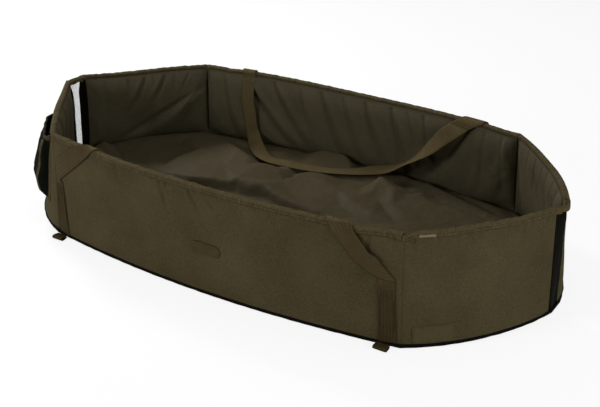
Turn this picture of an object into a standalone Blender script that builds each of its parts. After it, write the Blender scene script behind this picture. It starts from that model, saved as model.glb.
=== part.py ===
"""Padded unhooking mat: a long six-sided tub of foam and cloth with a drain net at each end.

Metres, +Z up. The origin is the middle of the underside, +X runs along the mat and -Y is its front.
Run it with blender --background --python part.py, or from the text editor.
"""
import math

import bmesh
import bpy
from mathutils import Vector

# Whole mat, over the outer cover
MAT_LENGTH = 1.300
CORNER_WIDTH = 0.605
SEAM_SPACING = 0.877
LONG_WALL_BOW = 0.039
WALL_HEIGHT = 0.241
LONG_WALL_LEAN = 0.018
END_WALL_LEAN = 0.009
NET_SLOT_WIDTH = 0.046

# How far each end wall bulges past a straight line, at its foot and at its rim
END_BULGES = {
    "right_front": (0.032, 0.020),
    "right_back": (0.044, 0.024),
    "left_front": (0.050, 0.014),
    "left_back": (0.034, 0.022),
}

# Cloth, padding and the gap between pieces that touch
CLEARANCE = 0.0003
SKIN_GAP = 0.0006
COVER_CLOTH = 0.0012
LINING_CLOTH = 0.0010
UNDERSIDE_CLOTH = 0.0020
UNDERSIDE_LIP = 0.010
WALL_PAD_DEPTH = 0.027
RIM_DEPTH = 0.010
RIM_SEAM_DROP = 0.005
BASE_PAD_HEIGHT = 0.042
BASE_PAD_ROUND = 0.010

# Tape over the rim
BINDING_TAPE = 0.0012
BINDING_DROP = 0.018
BINDING_ROUND = 0.003

# Loose liner on the base pad
LINER_CLOTH = 0.0015
LINER_EDGE_INSET = 0.003
LINER_RIPPLE = 0.006
FOLD_HEIGHT = 0.034
FOLD_WIDTH = 0.030
FOLD_EDGE_FADE = 0.150

# Drain nets
NET_CORD = 0.0016
NET_INSET = 0.004
NET_BAR = 0.0032
NET_TOP_CLEAR = 0.004
NET_CELLS_ACROSS = 4
NET_CELLS_UP = 18
NET_TOP_BOW = {"left": 0.003, "right": 0.010}

# Webbing: anchor straps, handles and peg loops
WEBBING_WIDTH = 0.037
WEBBING_THICKNESS = 0.0018
STRAP_SEAM_INSET = 0.0205
STRAP_PLACE = SEAM_SPACING / 2 - STRAP_SEAM_INSET
STITCH_HEIGHT = 0.113
FOLD_INNER_HEIGHT = 0.129
FOLD_TIP_HEIGHT = 0.141
LEG_STAND_OFF = 0.005
HANDLE_SLACK = 0.100
HANDLE_REST_HEIGHT = 0.016
PEG_LOOP_WIDTH = 0.029
PEG_LOOP_REACH = 0.036
PEG_LOOP_RADIUS = 0.0044

# Net pocket on the front left end wall
POCKET_FOOT = 0.048
POCKET_RIM_DROP = 0.029
POCKET_MOUTH = WALL_HEIGHT - POCKET_RIM_DROP
POCKET_BULGE = 0.030
POCKET_CLOTH = 0.0012
POCKET_TAPE = 0.0012
POCKET_TAPE_DROP = 0.012

# Counts of steps along each surface
LONG_STATIONS = 10
END_STATIONS = 6
LINER_ROWS = 14
NET_TAPE_STEPS = 6
ROUTE_STEPS = 2
LOOP_END_STEPS = 8
POCKET_STEPS = 8

# How squarely a form fills its outline: 2 is round, and more is squarer
PAD_UPRIGHT_POWER = 3
PAD_LENGTHWISE_POWER = 4
FOLD_END_POWER = 4
POCKET_SIDE_POWER = 0.7

SMOOTH_ANGLE = math.radians(40)

# Shares of the sizes that they follow
PAD_ROW_SHARES = (0.0, 0.12, 0.35, 0.65, 0.88, 1.0)
POCKET_SPAN_SHARES = (0.10, 0.58)
POCKET_ROW_SHARES = (0.0, 0.10, 0.30, 0.60, 1.0)
CROSSING_SHARES = {
    "front_right": (0.695, 1.27),
    "front_left": (0.782, 2.20),
    "back_right": (0.743, 1.55),
    "back_left": (0.690, 1.08),
}
# Each handle from its left crossing to its right one: along the mat, slack taken up, rise, tilt
HANDLE_ROUTE_SHARES = {
    "back": (
        (-0.675, 0.02, 0.76, 0.0),
        (-0.655, 0.04, 0.45, 0.0),
        (-0.620, 0.20, 0.16, 0.3),
        (-0.530, 0.50, 0.02, 0.8),
        (-0.380, 0.78, 0.00, 1.0),
        (-0.200, 0.90, 0.00, 1.0),
        (-0.040, 0.85, 0.00, 1.0),
        (0.090, 0.60, 0.02, 0.8),
        (0.200, 0.32, 0.09, 0.4),
        (0.320, 0.14, 0.22, 0.1),
        (0.450, 0.06, 0.42, 0.0),
        (0.580, 0.02, 0.67, 0.0),
        (0.675, 0.01, 0.86, 0.0),
    ),
    "front": (
        (-0.640, 0.01, 0.90, 0.0),
        (-0.520, 0.03, 0.76, 0.0),
        (-0.400, 0.06, 0.52, 0.0),
        (-0.280, 0.14, 0.28, 0.1),
        (-0.150, 0.34, 0.10, 0.5),
        (0.000, 0.50, 0.02, 0.9),
        (0.150, 0.42, 0.03, 0.8),
        (0.280, 0.22, 0.13, 0.3),
        (0.400, 0.10, 0.33, 0.0),
        (0.520, 0.04, 0.58, 0.0),
        (0.620, 0.01, 0.82, 0.0),
    ),
}
# Main folds of the liner: middle along and across the floor, heading in turns, half length, height
FOLD_SHARES = (
    (-0.20, -0.05, 0.47, 0.26, 0.8),
    (0.06, 0.10, 0.86, 0.16, 0.7),
    (0.34, 0.08, 0.90, 0.22, 1.0),
    (0.52, -0.20, 0.06, 0.20, 0.7),
    (-0.48, 0.20, 0.10, 0.22, 0.6),
    (-0.52, -0.35, 0.44, 0.18, 0.5),
    (0.10, -0.42, 0.02, 0.26, 0.6),
    (-0.05, 0.40, 0.95, 0.18, 0.6),
)

CORNERS = [(end, side) for end in ("left", "right") for side in ("front", "back")]
END_SIGN = {"left": -1, "right": 1}
SIDE_SIGN = {"front": -1, "back": 1}


def mix(low, high, share):
    return low + (high - low) * share


def smooth(share):
    """A rise from 0 to 1 that starts and ends level."""
    share = min(max(share, 0.0), 1.0)
    return share * share * (3 - 2 * share)


def material(name, colour, roughness):
    """A cloth-like surface of one colour, given as sRGB."""
    made = bpy.data.materials.get(name) or bpy.data.materials.new(name)
    made.use_nodes = True
    shader = made.node_tree.nodes["Principled BSDF"]
    linear = [channel**2.2 for channel in colour]
    shader.inputs["Base Color"].default_value = (*linear, 1)
    shader.inputs["Roughness"].default_value = roughness
    shader.inputs["Metallic"].default_value = 0
    made.diffuse_color = (*linear, 1)
    return made


def cover_cloth():
    return material("olive_cover_cloth", (0.29, 0.26, 0.19), 0.75)


def lining_cloth():
    return material("olive_lining_cloth", (0.24, 0.22, 0.17), 0.5)


def liner_cloth():
    return material("olive_liner_cloth", (0.29, 0.27, 0.21), 0.5)


def webbing():
    return material("olive_webbing", (0.26, 0.22, 0.15), 0.8)


def binding_tape():
    return material("olive_binding_tape", (0.25, 0.22, 0.15), 0.8)


def black_cloth():
    return material("black_underside_cloth", (0.04, 0.04, 0.04), 0.7)


def black_net():
    return material("black_net", (0.03, 0.03, 0.03), 0.6)


def foam():
    return material("grey_foam", (0.35, 0.35, 0.36), 0.95)


def add_object(name, mesh_data, surface, origin=None):
    """Closes the bmesh into an object whose faces point outwards, turned about its own origin."""
    bmesh.ops.recalc_face_normals(mesh_data, faces=mesh_data.faces)
    if mesh_data.calc_volume(signed=True) < 0:
        bmesh.ops.reverse_faces(mesh_data, faces=mesh_data.faces)
    if origin is not None:
        bmesh.ops.translate(mesh_data, verts=mesh_data.verts, vec=-origin)
    mesh = bpy.data.meshes.new(name)
    mesh_data.to_mesh(mesh)
    mesh_data.free()
    mesh.materials.append(surface)
    mesh.shade_smooth()
    mesh.set_sharp_from_angle(angle=SMOOTH_ANGLE)
    made = bpy.data.objects.new(name, mesh)
    if origin is not None:
        made.location = origin
    bpy.context.scene.collection.objects.link(made)
    return made


def loft(name, rings, surface, origin=None, joined=False):
    """A solid through like rings of points, capped at both ends or joined round into a loop.

    Each face is split from its lower corner up to the next ring, so that nested skins keep their gap.
    """
    made = bmesh.new()
    rows = [[made.verts.new(point) for point in ring] for ring in rings]
    pairs = list(zip(rows, rows[1:]))
    if joined:
        pairs.append((rows[-1], rows[0]))
    else:
        made.faces.new(rows[0])
        made.faces.new(reversed(rows[-1]))
    for row, following in pairs:
        for index, corner in enumerate(row):
            last, beyond, beyond_last = row[index - 1], following[index], following[index - 1]
            if last.co.z < corner.co.z:
                made.faces.new((last, corner, beyond))
                made.faces.new((last, beyond, beyond_last))
            else:
                made.faces.new((last, corner, beyond_last))
                made.faces.new((corner, beyond, beyond_last))
    return add_object(name, made, surface, origin)


def arc_point(start, finish, bulge, share):
    """A point of the arc from start to finish that bulges away from the mat's middle."""
    half = (finish - start).length / 2
    radius = (half * half + bulge * bulge) / (2 * bulge)
    along = (finish - start).normalized()
    outward = Vector((along.y, -along.x))
    if outward.dot(start) < 0:
        outward = -outward
    centre = (start + finish) / 2 - outward * (radius - bulge)
    sweep = math.asin(half / radius) * (2 * share - 1)
    return centre + radius * (outward * math.cos(sweep) + along * math.sin(sweep))


def wall_lean(kind, share):
    """How far the rim leans in, from a corner seam to the net on an end wall."""
    return LONG_WALL_LEAN if kind == "long" else mix(LONG_WALL_LEAN, END_WALL_LEAN, share)


class Wall:
    """One padded wall panel: share runs along it, height up it and inset into it from the cover."""

    def __init__(self, name, kind, end, side):
        self.name = name
        self.kind = kind
        self.end = END_SIGN.get(end, 1)
        self.side = SIDE_SIGN[side]
        self.bulges = END_BULGES.get(f"{end}_{side}")
        self.stations = LONG_STATIONS if kind == "long" else END_STATIONS

    def plan(self, share, height):
        """The cover's plan point in the +X +Y quarter, and the way into the wall from there."""
        rise = height / WALL_HEIGHT
        seam = Vector(((SEAM_SPACING + CLEARANCE) / 2, CORNER_WIDTH / 2))
        if self.kind == "long":
            half = Vector(((SEAM_SPACING - CLEARANCE) / 2, CORNER_WIDTH / 2))
            start = Vector((-half.x, half.y))
            return arc_point(start, half, LONG_WALL_BOW, share), Vector((0, -1))
        slot = Vector((MAT_LENGTH / 2, NET_SLOT_WIDTH / 2))
        turn = share * math.pi / 2
        outline = arc_point(seam, slot, mix(*self.bulges, rise), share)
        return outline, Vector((-math.sin(turn), -math.cos(turn)))

    def point(self, share, height, inset):
        outline, inward = self.plan(share, height)
        lean = wall_lean(self.kind, share) * height / WALL_HEIGHT
        place = outline + inward * (inset + lean)
        return Vector((self.end * place.x, self.side * place.y, height))

    def depth(self, share, height):
        """Thickness over cover and lining: full in the middle, drawn in at rim, foot and seams."""
        foot, rim = BASE_PAD_HEIGHT, WALL_HEIGHT - BINDING_DROP
        rise = min(max((height - foot) / (rim - foot), 0.0), 1.0)
        upright = 1 - abs(2 * rise - 1) ** PAD_UPRIGHT_POWER
        lengthwise = 1 - abs(2 * share - 1) ** PAD_LENGTHWISE_POWER
        return mix(RIM_DEPTH, WALL_PAD_DEPTH, upright * lengthwise)

    def shares(self):
        return [step / self.stations for step in range(self.stations + 1)]

    def share_at(self, along):
        """Where a long wall's station is for a place along the mat."""
        half = (SEAM_SPACING - CLEARANCE) / 2
        radius = (half * half + LONG_WALL_BOW**2) / (2 * LONG_WALL_BOW)
        return (math.asin(along / radius) / math.asin(half / radius) + 1) / 2


def all_walls():
    walls = [Wall(f"{side}_wall", "long", None, side) for side in ("front", "back")]
    return walls + [Wall(f"{end}_{side}_end", "end", end, side) for end, side in CORNERS]


def row_heights(feet, top):
    """Heights of a panel's rows, which all its skins share, from the base pad to the rim tape."""
    tape = WALL_HEIGHT - BINDING_DROP
    return feet + [mix(BASE_PAD_HEIGHT, tape, share) for share in PAD_ROW_SHARES] + [top]


def add_cover(wall):
    """Outer cloth of a wall, from the underside's lip up into the rim tape."""
    top = WALL_HEIGHT - BINDING_TAPE - CLEARANCE
    heights = row_heights([UNDERSIDE_LIP + CLEARANCE], top)
    rings = []
    for share in wall.shares():
        outer = [wall.point(share, height, 0) for height in heights]
        inner = [wall.point(share, height, COVER_CLOTH) for height in reversed(heights)]
        rings.append(outer + inner)
    loft(f"{wall.name}_cover", rings, cover_cloth())


def add_lining(wall):
    """Inner cloth of a wall, crowned over the foam, from the base pad up into the rim tape."""
    top = WALL_HEIGHT - BINDING_TAPE - CLEARANCE
    heights = row_heights([], top)
    heights[0] += CLEARANCE
    rings = []
    for share in wall.shares():
        outer = [wall.point(share, height, wall.depth(share, height) - LINING_CLOTH) for height in heights]
        inner = [wall.point(share, height, wall.depth(share, height)) for height in reversed(heights)]
        rings.append(outer + inner)
    loft(f"{wall.name}_lining", rings, lining_cloth())


def add_pad(wall):
    """Foam between cover and lining, standing on the underside cloth."""
    feet = [UNDERSIDE_CLOTH + CLEARANCE, UNDERSIDE_LIP + CLEARANCE]
    top = WALL_HEIGHT - BINDING_TAPE - RIM_SEAM_DROP
    heights = row_heights(feet, top)
    front = COVER_CLOTH + SKIN_GAP
    rings = []
    for share in wall.shares():
        outer = [wall.point(share, height, front) for height in heights]
        back = LINING_CLOTH + SKIN_GAP
        inner = [wall.point(share, height, wall.depth(share, height) - back) for height in reversed(heights)]
        rings.append(outer + inner)
    loft(f"{wall.name}_pad", rings, foam())


def tape_section(inner_depth, gap, tape, drop, top, rounding):
    """Inset and height of a tape folded, with a gap, over an edge that is inner_depth thick."""
    outside, inside = -gap, inner_depth + gap
    return [
        (outside - tape, top - drop),
        (outside - tape, top - rounding),
        (outside - tape + rounding, top),
        (inside + tape - rounding, top),
        (inside + tape, top - rounding),
        (inside + tape, top - drop),
        (inside, top - drop),
        (inside, top - tape),
        (outside, top - tape),
        (outside, top - drop),
    ]


def rim_tape_section():
    return tape_section(RIM_DEPTH, SKIN_GAP, BINDING_TAPE, BINDING_DROP, WALL_HEIGHT, BINDING_ROUND)


def add_binding(wall):
    """Tape folded over the rim, down both sides of the wall."""
    section = rim_tape_section()
    rings = []
    for share in wall.shares():
        rings.append([wall.point(share, height, inset) for inset, height in section])
    loft(f"{wall.name}_binding", rings, binding_tape())


def outline(height, inset):
    """Closed plan loop of the whole mat at a height, set in from the cover."""
    walls = {wall.name: wall for wall in all_walls()}
    route = (
        ("front_wall", False),
        ("right_front_end", False),
        ("right_back_end", True),
        ("back_wall", True),
        ("left_back_end", False),
        ("left_front_end", True),
    )
    points = []
    for name, backwards in route:
        wall = walls[name]
        shares = wall.shares()
        if wall.kind == "end":
            shares = shares[1:]
        points += [wall.point(share, height, inset) for share in (reversed(shares) if backwards else shares)]
    return points


def add_underside():
    """Black cloth under the mat, turned up round the foot of the walls."""
    loops = [
        outline(0, 0),
        outline(UNDERSIDE_LIP, 0),
        outline(UNDERSIDE_LIP, COVER_CLOTH),
        outline(UNDERSIDE_CLOTH, COVER_CLOTH),
    ]
    loft("underside_cover", loops, black_cloth())


def add_base_pad():
    """Foam slab that fills the floor between the feet of the walls."""
    edge = RIM_DEPTH + CLEARANCE
    loops = [
        outline(UNDERSIDE_CLOTH + CLEARANCE, edge),
        outline(BASE_PAD_HEIGHT - BASE_PAD_ROUND, edge),
        outline(BASE_PAD_HEIGHT, edge + BASE_PAD_ROUND / 2),
    ]
    loft("base_pad", loops, foam())


def fold_rise(along, across, room):
    """Height of the liner over the pad: folds that fade out towards the walls, and a low ripple."""
    fade = smooth(room / FOLD_EDGE_FADE)
    highest = 0.0
    for middle, aside, turn, reach, height in FOLD_SHARES:
        heading = 2 * math.pi * turn
        place = Vector((along - middle * MAT_LENGTH / 2, across - aside * CORNER_WIDTH / 2))
        lengthwise = place.dot(Vector((math.cos(heading), math.sin(heading)))) / (reach * MAT_LENGTH / 2)
        sideways = place.dot(Vector((-math.sin(heading), math.cos(heading)))) / FOLD_WIDTH
        faded = math.exp(-(lengthwise**FOLD_END_POWER))
        ridge = FOLD_HEIGHT * height * faded / (1 + sideways**2)
        highest = max(highest, ridge)
    ripple = LINER_RIPPLE * (1 + math.sin(along / FOLD_WIDTH) * math.cos(across / FOLD_WIDTH))
    return fade * (highest + ripple)


def floor_columns(inset):
    """Front and back ends of the rows of points across the floor, from the left net to the right."""
    height = BASE_PAD_HEIGHT
    walls = {wall.name: wall for wall in all_walls()}

    def columns(front, back, shares):
        return [(front.point(share, height, inset), back.point(share, height, inset)) for share in shares]

    outwards = walls["left_front_end"].shares()[1:]
    left = columns(walls["left_front_end"], walls["left_back_end"], outwards[::-1])
    middle = columns(walls["front_wall"], walls["back_wall"], walls["front_wall"].shares())
    right = columns(walls["right_front_end"], walls["right_back_end"], outwards)
    return left + middle + right


def add_floor_liner():
    """Loose cloth on the base pad, with its main folds."""
    columns = floor_columns(RIM_DEPTH + LINER_EDGE_INSET)
    bed = BASE_PAD_HEIGHT + CLEARANCE
    end_room = MAT_LENGTH / 2
    made = bmesh.new()
    under, top = {}, {}
    for column, (front, back) in enumerate(columns):
        for row in range(LINER_ROWS + 1):
            place = front.lerp(back, row / LINER_ROWS)
            room = min((place - front).length, (place - back).length, end_room - abs(place.x))
            height = bed + fold_rise(place.x, place.y, room)
            under[column, row] = made.verts.new((place.x, place.y, height))
            top[column, row] = made.verts.new((place.x, place.y, height + LINER_CLOTH))
    last = len(columns) - 1
    for column, row in [(column, row) for column in range(last) for row in range(LINER_ROWS)]:
        corners = ((column, row), (column + 1, row), (column + 1, row + 1), (column, row + 1))
        for sheet in (under, top):
            made.faces.new([sheet[corner] for corner in corners])
    edges = [(column, row, column + 1, row) for column in range(last) for row in (0, LINER_ROWS)]
    edges += [(column, row, column, row + 1) for row in range(LINER_ROWS) for column in (0, last)]
    for column, row, next_column, next_row in edges:
        near, far = (column, row), (next_column, next_row)
        made.faces.new((under[near], under[far], top[far], top[near]))
    add_object("floor_liner", made, liner_cloth())


def net_bow(end, height):
    """How far the slack top of a net stands out past the wall's line."""
    return NET_TOP_BOW[end] * smooth(2 * height / WALL_HEIGHT - 1)


def slot_point(end, across, height, inset):
    """A place in the slot between two end walls, across from -1 to 1."""
    reach = MAT_LENGTH / 2 - END_WALL_LEAN * height / WALL_HEIGHT - inset
    reach += net_bow(end, height) * (1 - across * across) ** 2
    half = NET_SLOT_WIDTH / 2 - SKIN_GAP
    return Vector((END_SIGN[end] * reach, across * half, height))


def add_net(end):
    """Drain net sewn between the edges of two end walls: a grid of bars with open cells."""
    foot = UNDERSIDE_LIP + CLEARANCE
    top = WALL_HEIGHT - BINDING_TAPE - NET_TOP_CLEAR
    made = bmesh.new()
    grid = []
    for up in range(NET_CELLS_UP + 1):
        height = mix(foot, top, up / NET_CELLS_UP)
        line = []
        for cell in range(NET_CELLS_ACROSS + 1):
            across = 2 * cell / NET_CELLS_ACROSS - 1
            line.append(made.verts.new(slot_point(end, across, height, NET_INSET)))
        grid.append(line)
    for low, high in zip(grid, grid[1:]):
        for cell in range(NET_CELLS_ACROSS):
            made.faces.new((low[cell], low[cell + 1], high[cell + 1], high[cell]))
    cells = list(made.faces)
    made.normal_update()
    bmesh.ops.inset_individual(made, faces=cells, thickness=NET_BAR / 2, use_even_offset=True)
    bmesh.ops.delete(made, geom=cells, context="FACES_ONLY")
    thicken = add_object(f"{end}_net", made, black_net()).modifiers.new("cord", "SOLIDIFY")
    thicken.thickness = NET_CORD
    thicken.offset = 0


def add_net_tape(end):
    """Rim tape that bridges the slot over the top of a net."""
    section = rim_tape_section()
    rings = []
    for step in range(NET_TAPE_STEPS + 1):
        across = 2 * step / NET_TAPE_STEPS - 1
        rings.append([slot_point(end, across, height, inset) for inset, height in section])
    loft(f"{end}_net_tape", rings, binding_tape())


def crossing(strap):
    """Where a strap's leg crosses the rim, as its inner and outer edges along the mat."""
    centre, spread = CROSSING_SHARES[strap]
    middle = centre * SEAM_SPACING / 2
    half = spread * WEBBING_WIDTH / 2
    return middle - half, middle + half


def rim_line(wall, along):
    """Distance of the cover's rim from the mat's long middle line."""
    return abs(wall.point(wall.share_at(along), WALL_HEIGHT, 0).y)


def handle_axis(side):
    """The line along the inner top edge of the rim that a handle swings about."""
    wall = Wall(f"{side}_wall", "long", None, side)
    outermost = max(crossing(f"{side}_{end}")[1] for end in END_SIGN)
    tape = RIM_DEPTH + BINDING_TAPE + SKIN_GAP + CLEARANCE
    distance = rim_line(wall, outermost) - tape - WEBBING_THICKNESS / 2
    return Vector((0, wall.side * distance, WALL_HEIGHT + CLEARANCE + WEBBING_THICKNESS / 2))


def add_strap(side, end):
    """Webbing sewn up the wall, folded over at the stitching and led across the rim."""
    wall = Wall(f"{side}_wall", "long", None, side)
    name = f"{side}_{end}"
    inner, outer = crossing(name)
    near, far = STRAP_PLACE - WEBBING_WIDTH / 2, STRAP_PLACE + WEBBING_WIDTH / 2
    on_cloth = CLEARANCE
    on_tape = BINDING_TAPE + SKIN_GAP + CLEARANCE
    tape_foot = WALL_HEIGHT - BINDING_DROP - WEBBING_THICKNESS
    rim = WALL_HEIGHT + CLEARANCE

    def leg(height):
        """The leg's two edges at a height, on straight lines from the fold to the rim."""
        low = (height - FOLD_INNER_HEIGHT) / (WALL_HEIGHT - FOLD_INNER_HEIGHT)
        high = (height - FOLD_TIP_HEIGHT) / (WALL_HEIGHT - FOLD_TIP_HEIGHT)
        return mix(near, inner, low), mix(far, outer, high)

    middle = mix(FOLD_TIP_HEIGHT, tape_foot, 0.5)
    stations = [
        (near, far, on_cloth, on_cloth, on_cloth, 0),
        (near, far, STITCH_HEIGHT / 2, STITCH_HEIGHT / 2, on_cloth, 0),
        (near, far, STITCH_HEIGHT, STITCH_HEIGHT, on_cloth, 0),
        (near, far, FOLD_INNER_HEIGHT, FOLD_TIP_HEIGHT, on_tape, 0),
        (*leg(middle), middle, middle, LEG_STAND_OFF, 0),
        (*leg(tape_foot), tape_foot, tape_foot, LEG_STAND_OFF, 0),
        (inner, outer, WALL_HEIGHT - BINDING_ROUND, WALL_HEIGHT - BINDING_ROUND, on_tape, 0),
        (inner, outer, rim, rim, on_tape, math.pi / 4),
    ]
    rings = []
    for low, high, low_height, high_height, stand_off, turn in stations:
        edges = ((low, low_height), (high, high_height))
        for_ring = []
        for deeper in (0, WEBBING_THICKNESS):
            out, up = deeper * math.cos(turn), deeper * math.sin(turn)
            place = [
                wall.point(wall.share_at(END_SIGN[end] * along), height + up, -stand_off - out)
                for along, height in (edges if deeper == 0 else edges[::-1])
            ]
            for_ring += place
        rings.append(for_ring)
    stop = wall.side * (abs(handle_axis(side).y) + WEBBING_THICKNESS / 2 + CLEARANCE)
    sign = END_SIGN[end]
    rings.append(
        [
            Vector((sign * inner, stop, rim)),
            Vector((sign * outer, stop, rim)),
            Vector((sign * outer, stop, rim + WEBBING_THICKNESS)),
            Vector((sign * inner, stop, rim + WEBBING_THICKNESS)),
        ]
    )
    loft(f"{name}_strap", rings, webbing())


def smooth_route(knots, steps):
    """Points along a smooth curve through the knots, which are lists of numbers of one length."""
    size = len(knots[0])
    ends = [knots[0]] + list(knots) + [knots[-1]]
    made = []
    for before, start, finish, after in zip(ends, ends[1:], ends[2:], ends[3:]):
        for step in range(steps):
            share = step / steps
            made.append(
                [
                    (
                        2 * start[i]
                        + (finish[i] - before[i]) * share
                        + (2 * before[i] - 5 * start[i] + 4 * finish[i] - after[i]) * share**2
                        + (3 * start[i] - before[i] - 3 * finish[i] + after[i]) * share**3
                    )
                    / 2
                    for i in range(size)
                ]
            )
    made.append(list(knots[-1]))
    return made


def add_handle(side):
    """The slack webbing inside the mat, down from one rim crossing to the floor and up to the other.

    No corner of it stands above the line that it swings about.
    """
    wall = Wall(f"{side}_wall", "long", None, side)
    axis = handle_axis(side)
    half = SEAM_SPACING / 2
    low = BASE_PAD_HEIGHT + LINER_CLOTH + HANDLE_REST_HEIGHT
    knots = []
    for along, slack, rise, tilt in HANDLE_ROUTE_SHARES[side]:
        height = mix(low, axis.z, rise)
        share = wall.share_at(along * half)
        clear = wall.depth(share, height) + 2 * CLEARANCE + WEBBING_THICKNESS
        inset = clear + slack * HANDLE_SLACK
        distance = min(abs(wall.point(share, height, inset).y), abs(axis.y))
        knots.append((along * half, wall.side * distance, height, tilt, WEBBING_WIDTH))
    left, right = (crossing(f"{side}_{end}") for end in ("left", "right"))
    start = (-sum(left) / 2, axis.y, axis.z, 0.0, left[1] - left[0])
    finish = (sum(right) / 2, axis.y, axis.z, 0.0, right[1] - right[0])
    route = smooth_route([start] + knots + [finish], ROUTE_STEPS)
    places = [Vector(row[:3]) for row in route]
    rings = []
    for index, row in enumerate(route):
        before, after = places[max(index - 1, 0)], places[min(index + 1, len(route) - 1)]
        at_rim = index in (0, len(route) - 1)
        heading = (after - before).normalized()
        facing = Vector((0, -wall.side * math.cos(row[3] * math.pi / 2), math.sin(row[3] * math.pi / 2)))
        if at_rim:
            heading = Vector((0, 0, -1 if index == 0 else 1))
        across = heading.cross(facing).normalized()
        face = across.cross(heading).normalized()
        wide = across * row[4] / 2
        thick = face * WEBBING_THICKNESS / 2
        corners = (-wide - thick, wide - thick, wide + thick, thick - wide)
        ring = [places[index] + corner for corner in corners]
        rings.append([Vector((corner.x, corner.y, min(corner.z, axis.z))) for corner in ring])
    loft(f"{side}_handle", rings, webbing(), origin=axis)


def peg_loop_axis(side, end):
    """The line at the foot of a strap that its peg loop swings about."""
    wall = Wall(f"{side}_wall", "long", None, side)
    along = STRAP_PLACE - PEG_LOOP_WIDTH / 2
    outermost = abs(wall.point(wall.share_at(along), 0, 0).y)
    distance = outermost + WEBBING_THICKNESS + 2 * CLEARANCE + PEG_LOOP_RADIUS
    return Vector((END_SIGN[end] * STRAP_PLACE, wall.side * distance, PEG_LOOP_RADIUS + CLEARANCE))


def add_peg_loop(side, end):
    """A loop of webbing at the foot of a strap, with an eye along the mat that takes a peg."""
    axis = peg_loop_axis(side, end)
    length = PEG_LOOP_REACH - 2 * PEG_LOOP_RADIUS
    outer, inner = [], []
    for centre, start in ((0.0, 0.5), (length, -0.5)):
        for step in range(LOOP_END_STEPS + 1):
            turn = math.pi * (start + step / LOOP_END_STEPS)
            for loop, radius in ((outer, PEG_LOOP_RADIUS), (inner, PEG_LOOP_RADIUS - WEBBING_THICKNESS)):
                loop.append((centre + radius * math.cos(turn), radius * math.sin(turn)))
    rings = []
    for (out_reach, out_rise), (in_reach, in_rise) in zip(outer, inner):
        ring = []
        for reach, rise, edge in (
            (out_reach, out_rise, -1),
            (out_reach, out_rise, 1),
            (in_reach, in_rise, 1),
            (in_reach, in_rise, -1),
        ):
            ring.append(axis + Vector((edge * PEG_LOOP_WIDTH / 2, SIDE_SIGN[side] * reach, rise)))
        rings.append(ring)
    loft(f"{side}_{end}_peg_loop", rings, webbing(), origin=axis, joined=True)


def pocket_offset(across, height):
    """How far the pocket's net stands off the wall: shut at its sides and foot, open at its mouth."""
    tape = POCKET_MOUTH - POCKET_TAPE_DROP - POCKET_TAPE
    rise = min((height - POCKET_FOOT) / (tape - POCKET_FOOT), 1.0)
    belly = math.sin(math.pi * across) ** POCKET_SIDE_POWER * math.sqrt(1 - (1 - rise) ** 2)
    return 2 * CLEARANCE + POCKET_CLOTH + POCKET_BULGE * belly


def add_pocket():
    """Open-topped net pocket on the outside of the front left end wall."""
    wall = Wall("left_front_end", "end", "left", "front")
    start, finish = POCKET_SPAN_SHARES
    tape = POCKET_MOUTH - POCKET_TAPE_DROP - POCKET_TAPE
    heights = [mix(POCKET_FOOT, tape, share) for share in POCKET_ROW_SHARES] + [POCKET_MOUTH]

    def column(across, stand_offs):
        share = mix(start, finish, across)
        return [wall.point(share, height, -stand_off) for height, stand_off in zip(heights, stand_offs)]

    section = tape_section(POCKET_CLOTH, CLEARANCE, POCKET_TAPE, POCKET_TAPE_DROP, 0.0, POCKET_TAPE / 2)
    back, net, binding = [], [], []
    for step in range(POCKET_STEPS + 1):
        across = step / POCKET_STEPS
        flat = [CLEARANCE] * len(heights)
        front = [CLEARANCE + POCKET_CLOTH] * len(heights)
        back.append(column(across, flat) + column(across, front)[::-1])
        belly = [pocket_offset(across, height) for height in heights]
        outside = [stand_off + POCKET_CLOTH for stand_off in belly]
        net.append(column(across, belly) + column(across, outside)[::-1])
        if 0 < step < POCKET_STEPS:
            inner = pocket_offset(across, POCKET_MOUTH)
            brim = POCKET_MOUTH + POCKET_TAPE + CLEARANCE
            share = mix(start, finish, across)
            binding.append([wall.point(share, brim + drop, -inner - inset) for inset, drop in section])
    loft("pocket_back", back, cover_cloth())
    loft("pocket_net", net, black_net())
    loft("pocket_binding", binding, binding_tape())


for leftover in list(bpy.data.objects):
    bpy.data.objects.remove(leftover)

add_underside()
add_base_pad()
add_floor_liner()
for panel in all_walls():
    add_pad(panel)
    add_cover(panel)
    add_lining(panel)
    add_binding(panel)
for mat_end in END_SIGN:
    add_net(mat_end)
    add_net_tape(mat_end)
for mat_side in SIDE_SIGN:
    add_handle(mat_side)
    for mat_end in END_SIGN:
        add_strap(mat_side, mat_end)
        add_peg_loop(mat_side, mat_end)
add_pocket()
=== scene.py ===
"""Padded unhooking mat: a long six-sided tub of foam and olive cloth with a drain net at each end.

Metres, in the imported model's frame: +X runs along the mat, -Y is its front and +Z is up.
"""
import math

import bpy
import numpy as np
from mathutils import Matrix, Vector
from mathutils.geometry import delaunay_2d_cdt


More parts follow.
